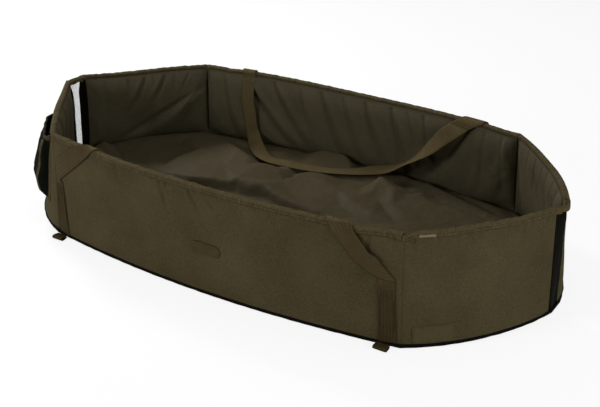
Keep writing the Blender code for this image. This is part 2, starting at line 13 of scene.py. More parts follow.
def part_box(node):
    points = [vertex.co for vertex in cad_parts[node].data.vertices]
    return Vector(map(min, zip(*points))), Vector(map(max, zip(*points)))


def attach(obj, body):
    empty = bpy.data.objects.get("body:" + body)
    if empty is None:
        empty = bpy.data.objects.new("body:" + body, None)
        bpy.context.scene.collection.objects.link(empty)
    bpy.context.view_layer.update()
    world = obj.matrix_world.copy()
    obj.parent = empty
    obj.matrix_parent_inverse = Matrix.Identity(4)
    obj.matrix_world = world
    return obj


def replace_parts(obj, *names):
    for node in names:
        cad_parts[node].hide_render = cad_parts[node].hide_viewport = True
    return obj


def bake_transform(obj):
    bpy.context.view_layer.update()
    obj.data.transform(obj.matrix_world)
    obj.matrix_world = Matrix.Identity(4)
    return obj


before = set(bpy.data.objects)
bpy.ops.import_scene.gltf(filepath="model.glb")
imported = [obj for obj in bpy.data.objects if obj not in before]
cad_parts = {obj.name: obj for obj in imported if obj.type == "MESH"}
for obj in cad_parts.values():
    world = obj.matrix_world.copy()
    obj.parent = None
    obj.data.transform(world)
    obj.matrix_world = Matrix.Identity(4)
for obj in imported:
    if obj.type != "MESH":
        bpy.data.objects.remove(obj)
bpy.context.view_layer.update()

# Foam: one slab under the floor and one curved panel in each of the six walls. Each is cut from
# soft grey foam and stands inside its cloth, full in the middle and thin at the rim and seams.
MAT_LENGTH = 1.300
CORNER_WIDTH = 0.605
SEAM_SPACING = 0.877
WALL_HEIGHT = 0.241
LONG_WALL_BOW = 0.039
LONG_WALL_LEAN = 0.018
END_WALL_LEAN = 0.009
NET_SLOT_WIDTH = 0.046
SEAM_GAP = 0.0008
# Which end and side a panel is on, and how far an end panel bulges at its foot and its rim
PANELS = {
    "front_wall": (1, -1, None),
    "back_wall": (1, 1, None),
    "left_front_end": (-1, -1, (0.050, 0.014)),
    "left_back_end": (-1, 1, (0.034, 0.022)),
    "right_front_end": (1, -1, (0.032, 0.020)),
    "right_back_end": (1, 1, (0.044, 0.024)),
}
# Lengths of a long panel and an end panel along the foot, near enough for spacing stitches and folds
LONG_PANEL = SEAM_SPACING + 0.005
END_PANEL = 0.362
# Low places of each rim: where along it, how wide, how deep
RIM_DIPS = {
    "front_wall": ((0.338, 0.045, 0.007), (0.10, 0.16, 0.002), (-0.20, 0.10, 0.002)),
    "back_wall": ((0.02, 0.20, 0.004), (-0.37, 0.03, 0.002), (0.40, 0.03, 0.002)),
    "left_front_end": ((0.12, 0.05, 0.003), (END_PANEL, 0.045, -0.009)),
    "left_back_end": ((0.20, 0.08, 0.002), (END_PANEL, 0.060, -0.007)),
    "right_front_end": ((0.011, 0.010, 0.006), (0.10, 0.05, 0.002), (0.26, 0.06, 0.002)),
    "right_back_end": ((0.16, 0.07, 0.003),),
}
RIM_DEPTH = 0.010
PAD_DEPTH = 0.027
BASE_HEIGHT = 0.042
TAPE_DROP = 0.0125
INNER_TAPE_DROP = 0.0085
CLOTH = 0.0012
# How far each corner seam stands out along the mat at its foot and at its rim, by end and side
CORNER_SHIFTS = {
    (1, -1): (0.009, -0.0055),
    (1, 1): (0.002, -0.004),
    (-1, 1): (0.005, -0.0125),
    (-1, -1): (0.0, 0.008),
}
CORNER_SPREAD = 0.12


def mix(low, high, share):
    return low + (high - low) * share


def smooth(share):
    """A rise from 0 to 1 that starts and ends level."""
    share = np.clip(share, 0.0, 1.0)
    return share * share * (3 - 2 * share)


def arc(start, finish, bulge, share):
    """Plan places at shares of the arc from start to finish, which stands out by bulge from its chord."""
    start, finish = np.array(start), np.array(finish)
    half = np.linalg.norm(finish - start) / 2
    radius = (half**2 + bulge**2) / (2 * bulge)
    along = (finish - start) / (2 * half)
    out = np.array([along[1], -along[0]])
    out = out * np.sign(out @ start)
    sweep = np.arcsin(half / radius) * (2 * share - 1)
    reach, aside = radius * np.cos(sweep) - radius + bulge, radius * np.sin(sweep)
    middle = (start + finish) / 2
    return [middle[axis] + out[axis] * reach + along[axis] * aside for axis in (0, 1)]


def is_long(panel):
    """Whether a panel is one of the two long walls."""
    return PANELS[panel][2] is None


def panel_length(panel):
    return LONG_PANEL if is_long(panel) else END_PANEL


def from_seams(panel, share):
    """How far a share of a panel is from the nearer of its upright edges, in metres."""
    return np.minimum(share, 1 - share) * panel_length(panel)


def rim_dip(panel, place):
    """How low a panel's rim lies at a place along it: the sum of its dips, each a bell curve."""
    return sum(depth * np.exp(-(((place - middle) / wide) ** 2)) for middle, wide, depth in RIM_DIPS[panel])


def leaned(x, side, rise):
    """Places along the mat, with each corner seam and the cloth beside it shifted as CORNER_SHIFTS says."""
    near = np.exp(-(((np.abs(x) - SEAM_SPACING / 2) / CORNER_SPREAD) ** 2))
    far = np.clip((MAT_LENGTH / 2 - np.abs(x)) / 0.1, 0.0, 1.0)
    shifts = [mix(*CORNER_SHIFTS[end, side], rise) for end in (-1, 1)]
    return x + near * far * np.where(x < 0, -shifts[0], shifts[1])


def on_panel(panel, share, height, inset=0.0):
    """Places on a wall: its plan arc at share, moved in by inset and by a lean that grows with height."""
    end, side, bulges = PANELS[panel]
    share, height, inset = np.broadcast_arrays(np.asarray(share, float), height, inset)
    rise = height / WALL_HEIGHT
    seam = (SEAM_SPACING / 2, CORNER_WIDTH / 2)
    if bulges is None:
        half = (seam[0] - SEAM_GAP / 2, seam[1])
        x, y = arc((-half[0], half[1]), half, LONG_WALL_BOW, share)
        turn, lean = 0 * share, LONG_WALL_LEAN
    else:
        corner, tip = (seam[0] + SEAM_GAP / 2, seam[1]), (MAT_LENGTH / 2, NET_SLOT_WIDTH / 2)
        x, y = arc(corner, tip, mix(*bulges, rise), share)
        turn, lean = share * np.pi / 2, mix(LONG_WALL_LEAN, END_WALL_LEAN, share)
    deep = inset + lean * rise
    place = (x if bulges is None else share * panel_length(panel)) + 0 * height
    x = leaned(end * (x - deep * np.sin(turn)), side, rise)
    return np.stack([x, side * (y - deep * np.cos(turn)), height - rim_dip(panel, place) * rise**3], -1)


def share_at(along):
    """The share of a long wall's arc at a place along the mat."""
    half = SEAM_SPACING / 2 - SEAM_GAP / 2
    radius = (half**2 + LONG_WALL_BOW**2) / (2 * LONG_WALL_BOW)
    return (np.arcsin(np.asarray(along, float) / radius) / math.asin(half / radius) + 1) / 2


def lining_rise(height):
    """How far up a lining a height is: 0 at the top of the base foam and 1 at the rim tape."""
    return np.clip((height - BASE_HEIGHT) / (WALL_HEIGHT - INNER_TAPE_DROP - BASE_HEIGHT), 0.0, 1.0)


def plumpness(panel, share, height):
    """From 0 at a panel's rim tape, foot and seams to 1 in its middle, rising like a pillow's edge."""
    rise = lining_rise(height)
    return (1 - np.abs(2 * rise - 1) ** 5) * np.sqrt(smooth(from_seams(panel, share) / 0.03))


def indices(shape):
    """Indices of the points of a grid."""
    return np.arange(shape[0] * shape[1]).reshape(shape)


def squares(index):
    """Faces between neighbours in a grid of indices."""
    corners = (index[:-1, :-1], index[:-1, 1:], index[1:, 1:], index[1:, :-1])
    return np.stack(corners, -1).reshape(-1, 4)


def make(name, points, faces, finish, body="mat", slot=None, uv=None):
    """A mesh object from points and four-sided faces, turned so that its faces point outwards."""
    first, second, third, fourth = (points[faces[:, corner]] for corner in range(4))
    volume = (first * (np.cross(second, third) + np.cross(third, fourth))).sum()
    if volume < 0:
        faces = faces[:, ::-1]
    mesh = bpy.data.meshes.new(name)
    mesh.from_pydata(points.tolist(), [], faces.tolist())
    if uv is not None:
        layer = mesh.uv_layers.new(name="cloth")
        layer.uv.foreach_set("vector", uv[faces].astype(np.float32).ravel())
    mesh.materials.append(finish)
    mesh.shade_smooth()
    piece = bpy.data.objects.new(name, mesh)
    bpy.context.scene.collection.objects.link(piece)
    if body:
        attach(piece, body)
    return piece


def metres(grid):
    """Lengths along both ways of a grid of places, for the weave to follow."""
    across = np.linalg.norm(np.diff(grid, axis=1), axis=2).mean(axis=0)
    along = np.linalg.norm(np.diff(grid, axis=0), axis=2).mean(axis=1)
    v, u = np.concatenate([[0], np.cumsum(along)]), np.concatenate([[0], np.cumsum(across)])
    return np.stack(np.broadcast_arrays(u[None, :], v[:, None]), -1).reshape(-1, 2)


def shell(name, face, back, finish, **told):
    """Cloth between two like grids of places, its face and its back, shut along all four edges."""
    index = indices(face.shape[:2])
    count = index.size
    rim = np.concatenate([index[0, :-1], index[:-1, -1], index[-1, :0:-1], index[:0:-1, 0]])
    beyond = np.roll(rim, -1)
    sides = np.stack([beyond, rim, rim + count, beyond + count], 1)
    faces = np.concatenate([squares(index), squares(index)[:, ::-1] + count, sides])
    points = np.concatenate([face.reshape(-1, 3), back.reshape(-1, 3)])
    return make(name, points, faces, finish, uv=np.tile(metres(face), (2, 1)), **told)


def normals(grid):
    """Unit normals of a grid of places, from the cross product of its two ways."""
    made = np.cross(np.gradient(grid, axis=0), np.gradient(grid, axis=1))
    return made / np.maximum(np.linalg.norm(made, axis=2, keepdims=True), 1e-12)


def facing(places, nudged):
    """Unit directions from places to the same places nudged off their surface."""
    made = nudged - places
    return made / np.linalg.norm(made, axis=-1, keepdims=True)


def cloth_of(name, grid, thickness, finish, **told):
    """Cloth of a thickness about a middle grid; the thickness may vary over the grid."""
    half = normals(grid) * np.asarray(thickness)[..., None] / 2
    return shell(name, grid + half, grid - half, finish, **told)


class Tone:
    """A value in a finish: Python's operators on it add Math nodes, and add() puts in any other node."""

    def __init__(self, tree, socket=None):
        self.tree, self.socket = tree, socket

    def add(self, kind, settings=None, sockets=None, out=0):
        """A node of a kind: settings are set first, then sockets take numbers, colours or other tones."""
        node = self.tree.nodes.new("ShaderNode" + kind)
        for name, setting in (settings or {}).items():
            setattr(node, name, setting)
        for name, value in (sockets or {}).items():
            if isinstance(value, Tone):
                self.tree.links.new(value.socket, node.inputs[name])
            else:
                node.inputs[name].default_value = value
        return Tone(self.tree, node.outputs[out])

    def maths(self, operation, *terms):
        return self.add("Math", {"operation": operation}, dict(enumerate(terms)))

    def __add__(self, other):
        return self.maths("ADD", self, other)

    def __sub__(self, other):
        return self.maths("SUBTRACT", self, other)

    def __rsub__(self, other):
        return self.maths("SUBTRACT", other, self)

    def __mul__(self, other):
        return self.maths("MULTIPLY", self, other)

    __radd__, __rmul__ = __add__, __mul__

    def wave(self, length):
        """A sine of this value, from -1 to 1, of that wavelength."""
        return self.maths("SINE", self * (2 * math.pi / length))

    def noise(self, size, detail=3.0, rough=0.55, where=None):
        """Cloudy noise from 0 to 1 with patches of a size in metres, on the object's own coordinates."""
        where = where or self.add("TexCoord", out=3)
        sockets = {"Vector": where, "Scale": 1 / size, "Detail": detail, "Roughness": rough}
        return self.add("TexNoise", None, sockets)

    def between(self, low, high):
        """The colour this far from low to high."""
        return self.add("Mix", {"data_type": "RGBA"}, {0: self, 6: low, 7: high}, out=2)


def dye(red, green, blue):
    """A colour given as it shows, in sRGB from 0 to 255."""
    return (*((channel / 255) ** 2.2 for channel in (red, green, blue)), 1)


def finish_of(name, paint, shine):
    """A material: paint gives its colour, roughness and relief in metres, and shine how much it mirrors."""
    made = bpy.data.materials.new(name)
    made.use_nodes = True
    shader = made.node_tree.nodes["Principled BSDF"]
    shader.inputs["Specular IOR Level"].default_value = shine
    ground = Tone(made.node_tree)
    colour, roughness, relief = paint(ground)
    bump = ground.add("Bump", None, {"Strength": 1.0, "Distance": 1.0, "Height": relief})
    for socket, tone in (("Base Color", colour), ("Roughness", roughness), ("Normal", bump)):
        made.node_tree.links.new(tone.socket, shader.inputs[socket])
    return made


def foam_cells(ground):
    cells = ground.noise(0.0015, 2.0)
    return cells.between(dye(84, 84, 86), dye(120, 120, 122)), 0.9 + 0.1 * cells, cells * 0.0004


foam = finish_of("grey_foam", foam_cells, 0.1)
WALL_ROWS = 56
LONG_STATIONS = 250
END_STATIONS = 104


def stations(panel, count=None):
    """Shares along a panel, as a column."""
    return np.linspace(0, 1, count or (LONG_STATIONS if is_long(panel) else END_STATIONS))[:, None]


# Where a lining's main folds hang: place under the rim tape, place at the foot, depth, half width (below
# 0 where its ridge lies on the other side), and for a short one how far up it starts and where it ends
LINING_FOLDS = {
    "back_wall": (
        (-0.387, -0.345, 0.004, 0.009),
        (-0.318, -0.180, 0.010, 0.012),
        (-0.240, -0.130, 0.007, 0.012),
        (-0.165, -0.110, 0.003, 0.010),
        (-0.103, -0.036, 0.006, 0.012),
        (-0.040, 0.012, 0.003, 0.010),
        (0.021, 0.080, 0.006, 0.011),
        (0.094, 0.152, 0.007, 0.011),
        (0.140, 0.196, 0.003, 0.009),
        (0.183, 0.240, 0.006, 0.011),
        (0.322, 0.175, 0.016, -0.020),
        (0.352, 0.352, 0.004, 0.010),
        (0.400, 0.420, 0.003, 0.008),
    ),
    "front_wall": (
        (0.36, 0.31, 0.005, 0.012),
        (0.25, 0.19, 0.006, 0.012),
        (0.13, 0.09, 0.005, 0.011),
        (0.02, -0.03, 0.006, 0.012),
        (-0.11, -0.15, 0.005, 0.012),
        (-0.22, -0.29, 0.006, 0.012),
        (-0.34, -0.38, 0.004, 0.010),
    ),
    "left_back_end": (
        (-0.069, 0.313, 0.015, -0.022, 0.0, 0.78),
        (0.048, 0.120, 0.004, 0.008, 0.66),
        (0.096, 0.060, 0.004, 0.007, 0.70),
        (0.118, 0.215, 0.006, 0.010, 0.50),
        (0.160, 0.105, 0.004, 0.007, 0.72),
        (0.178, 0.285, 0.006, 0.010, 0.42),
        (0.236, 0.200, 0.004, 0.007, 0.70),
        (0.300, 0.330, 0.003, 0.010, 0.40),
    ),
    "left_front_end": (
        (0.060, 0.090, 0.005, 0.012),
        (0.140, 0.190, 0.006, 0.012),
        (0.220, 0.250, 0.005, 0.012),
        (0.300, 0.310, 0.005, 0.010),
    ),
    "right_back_end": (
        (0.070, 0.060, 0.003, 0.008, 0.60),
        (0.115, 0.105, 0.005, 0.009, 0.50),
        (0.160, 0.155, 0.003, 0.008, 0.60),
        (0.197, 0.215, 0.005, 0.009, 0.45),
        (0.250, 0.262, 0.004, 0.009, 0.55),
        (0.300, 0.240, 0.004, 0.020),
    ),
    "right_front_end": (
        (0.070, 0.050, 0.005, 0.012),
        (0.150, 0.170, 0.006, 0.012),
        (0.230, 0.210, 0.005, 0.012),
        (0.300, 0.320, 0.005, 0.010),
    ),
}


def place_along(panel, share):
    """Where a share of a panel is, in metres: from a long wall's middle, or from an end's corner seam."""
    half = panel_length(panel) / 2
    return (2 * share - 1) * half if is_long(panel) else share * 2 * half


def ripples(along, lengths, seed):
    """A sum of waves of several lengths, from about -1 to 1, with phases drawn from a seed."""
    phases = np.random.default_rng(seed).uniform(0, 2 * np.pi, len(lengths))
    waves = [np.sin(2 * np.pi * along / length + phase) for length, phase in zip(lengths, phases)]
    return sum(waves) / len(lengths)


def gathers(panel, share, inside):
    """The rim cloth's small gathers where the tape is sewn on, from about -1 to 1."""
    seed = list(PANELS).index(panel) * 2 + inside
    along = place_along(panel, share)
    slow = 0.6 + 0.4 * ripples(along, (0.09, 0.13, 0.21), seed + 40)
    place = along + 0.004 * ripples(along, (0.05, 0.07), seed + 20)
    return slow * ripples(place, (0.0110, 0.0147, 0.0192), seed)


def lining_inset(panel, share, height):
    """How far a lining's face stands in: the pad's depth with hanging folds and rim gathers.

    Across a fold the relief is a sharp valley, exp(-distance), beside a low rounded ridge.
    """
    share, height = np.broadcast_arrays(share, height)
    plump = plumpness(panel, share, height)
    along = place_along(panel, share)
    rise = lining_rise(height)
    relief = 0.0 * along
    for top, foot, depth, half, *ends in LINING_FOLDS[panel]:
        low, high = (*ends, *(0.0, 1.0)[len(ends) :])
        middle = mix(foot, top, rise**0.85)
        off = (along - middle) / (half * mix(2.1, 0.5, rise**0.7))
        reach = smooth((rise - low) / 0.3) * smooth((high - rise) / (0.08 if high == 1.0 else 0.3))
        ridge, valley = np.exp(-((off - 1.9) ** 2) / 1.6), np.exp(-(np.sqrt(off**2 + 0.04) - 0.2) * 1.5)
        relief += depth * reach * (0.5 * ridge - valley)
    strength = 0.0009 if is_long(panel) else 0.0005
    near_rim = np.exp(-((1 - rise) / 0.17) ** 2) * (1 - np.exp(-((1 - rise) / 0.03)))
    relief += strength * near_rim * gathers(panel, share, 1)
    seed = 60 + list(PANELS).index(panel)
    relief += 0.0012 * ripples(along + 0.35 * height, (0.071, 0.113, 0.163), seed) * plump
    groove = 0.002 * np.exp(-((from_seams(panel, share) / 0.006) ** 2))
    groove = groove * smooth(rise / 0.1) * smooth((1 - rise) / 0.1)
    return np.maximum(mix(RIM_DEPTH, PAD_DEPTH, plump) + relief * smooth(plump * 2), RIM_DEPTH) - groove


# Where a cover draws in under its rim tape: place at the tape, place at the fold's lower end, drop,
# depth, half width
COVER_FOLDS = {
    "front_wall": (
        (-0.113, -0.069, 0.115, 0.0039, 0.008),
        (-0.094, -0.100, 0.075, 0.0027, 0.006),
        (-0.036, 0.024, 0.095, 0.0036, 0.008),
        (0.002, 0.071, 0.075, 0.0030, 0.007),
        (-0.240, -0.215, 0.060, 0.0021, 0.007),
        (-0.350, -0.335, 0.050, 0.0018, 0.006),
        (0.160, 0.175, 0.050, 0.0018, 0.006),
        (0.375, 0.360, 0.060, 0.0024, 0.007),
    ),
    "back_wall": (
        (-0.260, -0.230, 0.08, 0.0030, 0.008),
        (0.050, 0.090, 0.09, 0.0033, 0.008),
        (0.240, 0.220, 0.06, 0.0024, 0.007),
    ),
    "left_front_end": ((0.060, 0.075, 0.06, 0.0024, 0.007), (0.210, 0.190, 0.08, 0.0027, 0.008)),
    "left_back_end": ((0.090, 0.110, 0.07, 0.0024, 0.007), (0.240, 0.215, 0.08, 0.0027, 0.008)),
    "right_front_end": (
        (0.021, 0.024, 0.13, 0.0036, 0.008),
        (0.140, 0.170, 0.08, 0.0018, 0.009),
        (0.270, 0.250, 0.06, 0.0021, 0.007),
    ),
    "right_back_end": ((0.080, 0.100, 0.07, 0.0024, 0.007), (0.230, 0.205, 0.08, 0.0027, 0.008)),
}


def cover_inset(panel, share, height):
    """How far a cover's face stands in from its plan: drawn in at seams and rim, and a little slack."""
    share, height = np.broadcast_arrays(share, height)
    along = place_along(panel, share)
    rise = np.clip(height / (WALL_HEIGHT - TAPE_DROP), 0.0, 1.0)
    from_seam = from_seams(panel, share)
    seam = 0.0022 * np.exp(-((from_seam / 0.0028) ** 2)) + 0.0030 * np.exp(-((from_seam / 0.018) ** 2))
    near_rim = np.exp(-((1 - rise) / 0.10) ** 2)
    puckers = 0.0020 * near_rim * gathers(panel, share, 0)
    seed = 80 + list(PANELS).index(panel)
    slack = 0.0011 * ripples(along - 0.5 * height, (0.061, 0.093, 0.147), seed)
    slack += 0.0006 * ripples(along + 0.8 * height, (0.029, 0.041, 0.053), seed + 10) * rise
    slack *= smooth(height / 0.04)
    for top, low, reach, depth, half in COVER_FOLDS[panel]:
        drop = np.clip((WALL_HEIGHT - TAPE_DROP - height) / reach, 0.0, 1.0)
        off = (along - mix(top, low, drop)) / (half * mix(0.6, 1.6, drop))
        slack += depth * (1 - drop) ** 0.7 * (np.exp(-(off**2)) - 0.5 * np.exp(-((off - 1.6) ** 2)))
    crown = 0.0018 * np.sin(np.pi * rise) * smooth(from_seam / 0.05)
    return seam + (puckers + slack) * smooth(from_seam / 0.03) - crown


FOAM_FROM_SEAM = 0.011
FOAM_FACE = 0.0048
FOAM_EDGE = 0.0008
FOAM_CLEARANCE = 0.0045
for panel in PANELS:
    aside = FOAM_FROM_SEAM / panel_length(panel)
    share = mix(aside, 1 - aside, stations(panel, 180 if is_long(panel) else 80))
    rows = np.linspace(0.004, WALL_HEIGHT - 0.012, 48)[None, :]
    near = on_panel(panel, share, rows, FOAM_FACE)
    room = from_seams(panel, share) - aside
    deep = lining_inset(panel, share, rows) - CLOTH - FOAM_CLEARANCE
    thinnest = FOAM_FACE + FOAM_EDGE
    deep = np.maximum(mix(thinnest, deep, smooth(room / 0.035)), thinnest)
    pad = shell(f"{panel}_foam", near, on_panel(panel, share, rows, deep), foam, slot="foam")
    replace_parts(pad, f"{panel}_pad")


def across_floor(height, inset, columns=(40, 120), rows=60):
    """Places on the floor, from the left net to the right, in lines from the front walls to the back."""
    lines = []
    parts = (("left", columns[0], -1), ("", columns[1], 1), ("right", columns[0], 1))
    for end, count, way in parts:
        share = np.linspace(0, 1, count)[::way]
        share = share if not end else (share[:-1] if way < 0 else share[1:])
        names = [f"{end}_{side}_end" if end else f"{side}_wall" for side in ("front", "back")]
        ends = [on_panel(name, share, height, inset) for name in names]
        lines.append(ends)
    front, back = (np.concatenate([part[side] for part in lines]) for side in (0, 1))
    across = np.linspace(0, 1, rows)[None, :, None]
    return mix(front[:, None, :], back[:, None, :], across)


def from_walls(grid, tips):
    """How far places on the floor are from the walls on both sides, and from the nets at the tips."""
    to_front = np.linalg.norm(grid - grid[:, :1], axis=2)
    to_back = np.linalg.norm(grid - grid[:, -1:], axis=2)
    return np.minimum.reduce([to_front, to_back, MAT_LENGTH / 2 - tips - np.abs(grid[..., 0])])


slab = across_floor(0.03, RIM_DEPTH + 0.001)
room = from_walls(slab, 0.012)
round_off = 0.010 * (1 - smooth(room / 0.02))
low, high = slab.copy(), slab.copy()
low[..., 2] = 0.0024
high[..., 2] = BASE_HEIGHT - round_off
base = shell("base_foam", high, low, foam, slot="foam")
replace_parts(base, "base_pad")


# Underside: one piece of black coated cloth under the whole mat. It is cut to the six-sided plan
# and turned up round the foot of the walls, where it is sewn and shows as a rolled black edge.
ROUTE = (
    ("front_wall", 1),
    ("right_front_end", 1),
    ("right_back_end", -1),
    ("back_wall", -1),
    ("left_back_end", 1),
    ("left_front_end", -1),
)


def coated(ground):
    cloud, grain = ground.noise(0.03), ground.noise(0.0012, 2.0)
    return cloud.between(dye(8, 7, 5), dye(19, 17, 12)), 0.7 + 0.25 * grain, grain * 0.0003


black = finish_of("black_coated_cloth", coated, 0.04)


def round_mat(profile, count=120):
    """Closed loops round the whole plan, one for each inset and height of a profile."""
    loops = []
    for inset, height in profile:
        parts = []
        for panel, way in ROUTE:
            share = np.linspace(0, 1, count * (2 if is_long(panel) else 1))[::way]
            wobble = 0.0006 * ripples(place_along(panel, share), (0.031, 0.044, 0.071), 5)
            parts.append(on_panel(panel, share, height, inset + wobble))
        loops.append(np.concatenate(parts))
    return np.array(loops)


def hoop(name, loops, finish, **told):
    """A closed ring whose section is a closed row of loops."""
    index = indices(loops.shape[:2])
    index = np.concatenate([index, index[:1]])
    index = np.concatenate([index, index[:, :1]], axis=1)
    return make(name, loops.reshape(-1, 3), squares(index), finish, **told)


edge_profile = (
    (0.016, 0.0002),
    (0.005, 0.0002),
    (0.0020, 0.0007),
    (-0.0002, 0.0020),
    (-0.0016, 0.0038),
    (-0.0022, 0.0058),
    (-0.0020, 0.0078),
    (-0.0008, 0.0094),
    (0.0006, 0.0098),
    (0.0018, 0.0086),
    (0.0024, 0.0050),
    (0.0040, 0.0026),
    (0.016, 0.0021),
)
turned_edge = hoop("underside_turned_edge", round_mat(edge_profile), black, slot="black_cloth")
bottom = across_floor(0.0, 0.005)
low, high = bottom.copy(), bottom.copy()
low[..., 2] = 0.0003 + 0.0008 * (1 + np.sin(bottom[..., 0] * 23) * np.sin(bottom[..., 1] * 31)) / 2
high[..., 2] = low[..., 2] + 0.0010
shell("underside_cloth", high, low, black, slot="black_cloth")
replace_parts(turned_edge, "underside_cover")


# Covers: six panels of woven olive cloth round the outside, sewn together at the four corners and
# into the rim tape. The weave is coarse and dull, and the cloth puckers a little under the tape.
wall_heights = np.linspace(0.0045, WALL_HEIGHT - 0.002, WALL_ROWS)[None, :]


def cloth_map(ground):
    """The two ways of the cloth's own map, in metres."""
    spot = ground.add("SeparateXYZ", None, {0: ground.add("TexCoord", out=2)})
    return spot, Tone(ground.tree, spot.socket.node.outputs[1])


def weave(ground, pitch):
    """Relief of a plain weave: threads over and under each other, a product of two sines from -1 to 1."""
    across, along = cloth_map(ground)
    return across.wave(pitch) * along.wave(pitch)


def streaks(ground, by_across, by_along, size):
    """Noise on the cloth's own map, drawn out along a way whose scale is below 1."""
    across, along = cloth_map(ground)
    where = ground.add("CombineXYZ", None, {0: across * by_across, 1: along * by_along})
    return ground.noise(size, 2.0, where=where)


def oxford(ground):
    threads, ribs = weave(ground, 0.0022), weave(ground, 0.0048)
    cloud, fleck = ground.noise(0.12, 2.0), ground.noise(0.0034, 3.0)
    slubs = streaks(ground, 1.0, 0.06, 0.0028)
    tone = 0.45 * cloud + 0.60 * fleck + 0.10 * slubs + 0.12 * threads + 0.10 * ribs - 0.11
    relief = threads * 0.00020 + ribs * 0.00012 + fleck * 0.00030 + slubs * 0.00010
    return tone.between(dye(40, 35, 23), dye(90, 82, 60)), 0.88 + 0.1 * fleck, relief


cover_cloth = finish_of("olive_oxford_cloth", oxford, 0.03)
for panel in PANELS:
    share = stations(panel)
    inset = cover_inset(panel, share, wall_heights)
    face = on_panel(panel, share, wall_heights, inset)
    back = on_panel(panel, share, wall_heights, inset + CLOTH)
    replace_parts(shell(f"{panel}_outer_cloth", face, back, cover_cloth, slot="cover_cloth"), f"{panel}_cover")


# Seam bindings: where two covers meet at a corner their edges are turned in as an allowance of cover
# cloth and bound with a black strip, from the foot to the rim. Both close the seam from inside.
BINDING = 0.0008
BINDING_HALF_WIDTH = 0.008
STRIPS = (("binding", 0.0064, black, "black_cloth"), ("allowance", 0.0055, cover_cloth, "cover_cloth"))
for end, side in CORNER_SHIFTS:
    front, left = ("front" if side < 0 else "back"), ("left" if end < 0 else "right")
    wall, corner = f"{front}_wall", f"{left}_{front}_end"
    rows = np.linspace(0.006, WALL_HEIGHT - 0.010, 60)[None, :]
    on_wall = np.linspace(BINDING_HALF_WIDTH, 0.0002, 6)[:, None] / panel_length(wall)
    on_end = np.linspace(0.0002, BINDING_HALF_WIDTH, 6)[:, None] / panel_length(corner)
    on_wall = 1 - on_wall if end > 0 else on_wall
    for kind, inset, finish, slot in STRIPS:
        strip = [on_panel(wall, on_wall, rows, inset), on_panel(corner, on_end, rows, inset)]
        strip = np.concatenate(strip)
        cloth_of(f"{left}_{front}_seam_{kind}", strip, BINDING + 0 * strip[..., 0], finish, slot=slot)


# Linings: a smoother, finer olive cloth over the inside of each wall. It is cut a little large, so
# it hangs in slanting folds from the rim and dips into the seams at the corners.
def crumpled(ground, size):
    """Folded noise: 0 along sharp creases and up to 0.5 between them."""
    return ground.maths("ABSOLUTE", ground.noise(size, 2.0, 0.45) - 0.5)


def satin(ground):
    cloud, crease, fleck = ground.noise(0.05), ground.noise(0.008, 4.0), ground.noise(0.0015, 2.0)
    tone = 0.5 * cloud + 0.3 * crease + 0.2 * fleck
    relief = crease * 0.0007 + fleck * 0.00012 + crumpled(ground, 0.030) * 0.0022
    return tone.between(dye(53, 49, 37), dye(79, 73, 57)), 0.58 + 0.12 * crease, relief


lining_cloth = finish_of("olive_lining_cloth", satin, 0.06)
lining_heights = np.linspace(BASE_HEIGHT - 0.012, WALL_HEIGHT - 0.002, WALL_ROWS)[None, :]


SETTLING_FRAMES = 18


def plate(name, half, level):
    """A flat square object of a half width at a level."""
    mesh = bpy.data.meshes.new(name)
    corners = [(x * half, y * half, level) for x, y in ((-1, -1), (1, -1), (1, 1), (-1, 1))]
    mesh.from_pydata(corners, [], [(0, 1, 2, 3)])
    piece = bpy.data.objects.new(name, mesh)
    bpy.context.scene.collection.objects.link(piece)
    return piece


def let_go(start, held, growth, fall, floor=None, bend=0.4):
    """How far each place of a cloth moves when it grows by a share and falls, by a cloth simulation.

    start is a grid of places and held how firmly each is kept, from 0 to 1. A floor is a level it lies on.
    """
    scene = bpy.context.scene
    mesh = bpy.data.meshes.new("slack_cloth")
    mesh.from_pydata(start.reshape(-1, 3).tolist(), [], squares(indices(start.shape[:2])).tolist())
    slack = bpy.data.objects.new("slack_cloth", mesh)
    scene.collection.objects.link(slack)
    pins = slack.vertex_groups.new(name="held")
    firmness = np.round(held.ravel() * 10)
    for step in range(1, 11):
        pins.add(np.flatnonzero(firmness == step).tolist(), step / 10, "REPLACE")
    cloth = slack.modifiers.new("cloth", "CLOTH")
    cloth.settings.quality, cloth.settings.mass, cloth.settings.air_damping = 6, 0.12, 4.0
    cloth.settings.tension_stiffness = cloth.settings.compression_stiffness = 18
    cloth.settings.shear_stiffness, cloth.settings.bending_stiffness = 6, bend
    cloth.settings.vertex_group_mass, cloth.settings.pin_stiffness = "held", 1.0
    cloth.settings.shrink_min = cloth.settings.shrink_max = -growth
    cloth.settings.effector_weights.gravity = fall
    cloth.collision_settings.use_collision = floor is not None
    cloth.collision_settings.distance_min = 0.0015
    cloth.point_cache.frame_start, cloth.point_cache.frame_end = 1, SETTLING_FRAMES
    if floor is not None:
        board = plate("board", 1, floor)
        board.modifiers.new("collision", "COLLISION")
        board.collision.thickness_outer = 0.001
    for step in range(1, SETTLING_FRAMES + 1):
        scene.frame_set(step)
    settled = slack.evaluated_get(bpy.context.evaluated_depsgraph_get()).data
    places = np.empty(start.size, np.float32)
    settled.vertices.foreach_get("co", places)
    bpy.data.objects.remove(slack)
    if floor is not None:
        bpy.data.objects.remove(board)
    scene.frame_set(1)
    return places.reshape(start.shape) - start


def eased(grid):
    """A grid with each number drawn towards its neighbours, first down the grid and then across it."""
    grid[1:-1] = (grid[:-2] + 2 * grid[1:-1] + grid[2:]) / 4
    grid[:, 1:-1] = (grid[:, :-2] + 2 * grid[:, 1:-1] + grid[:, 2:]) / 4
    return grid


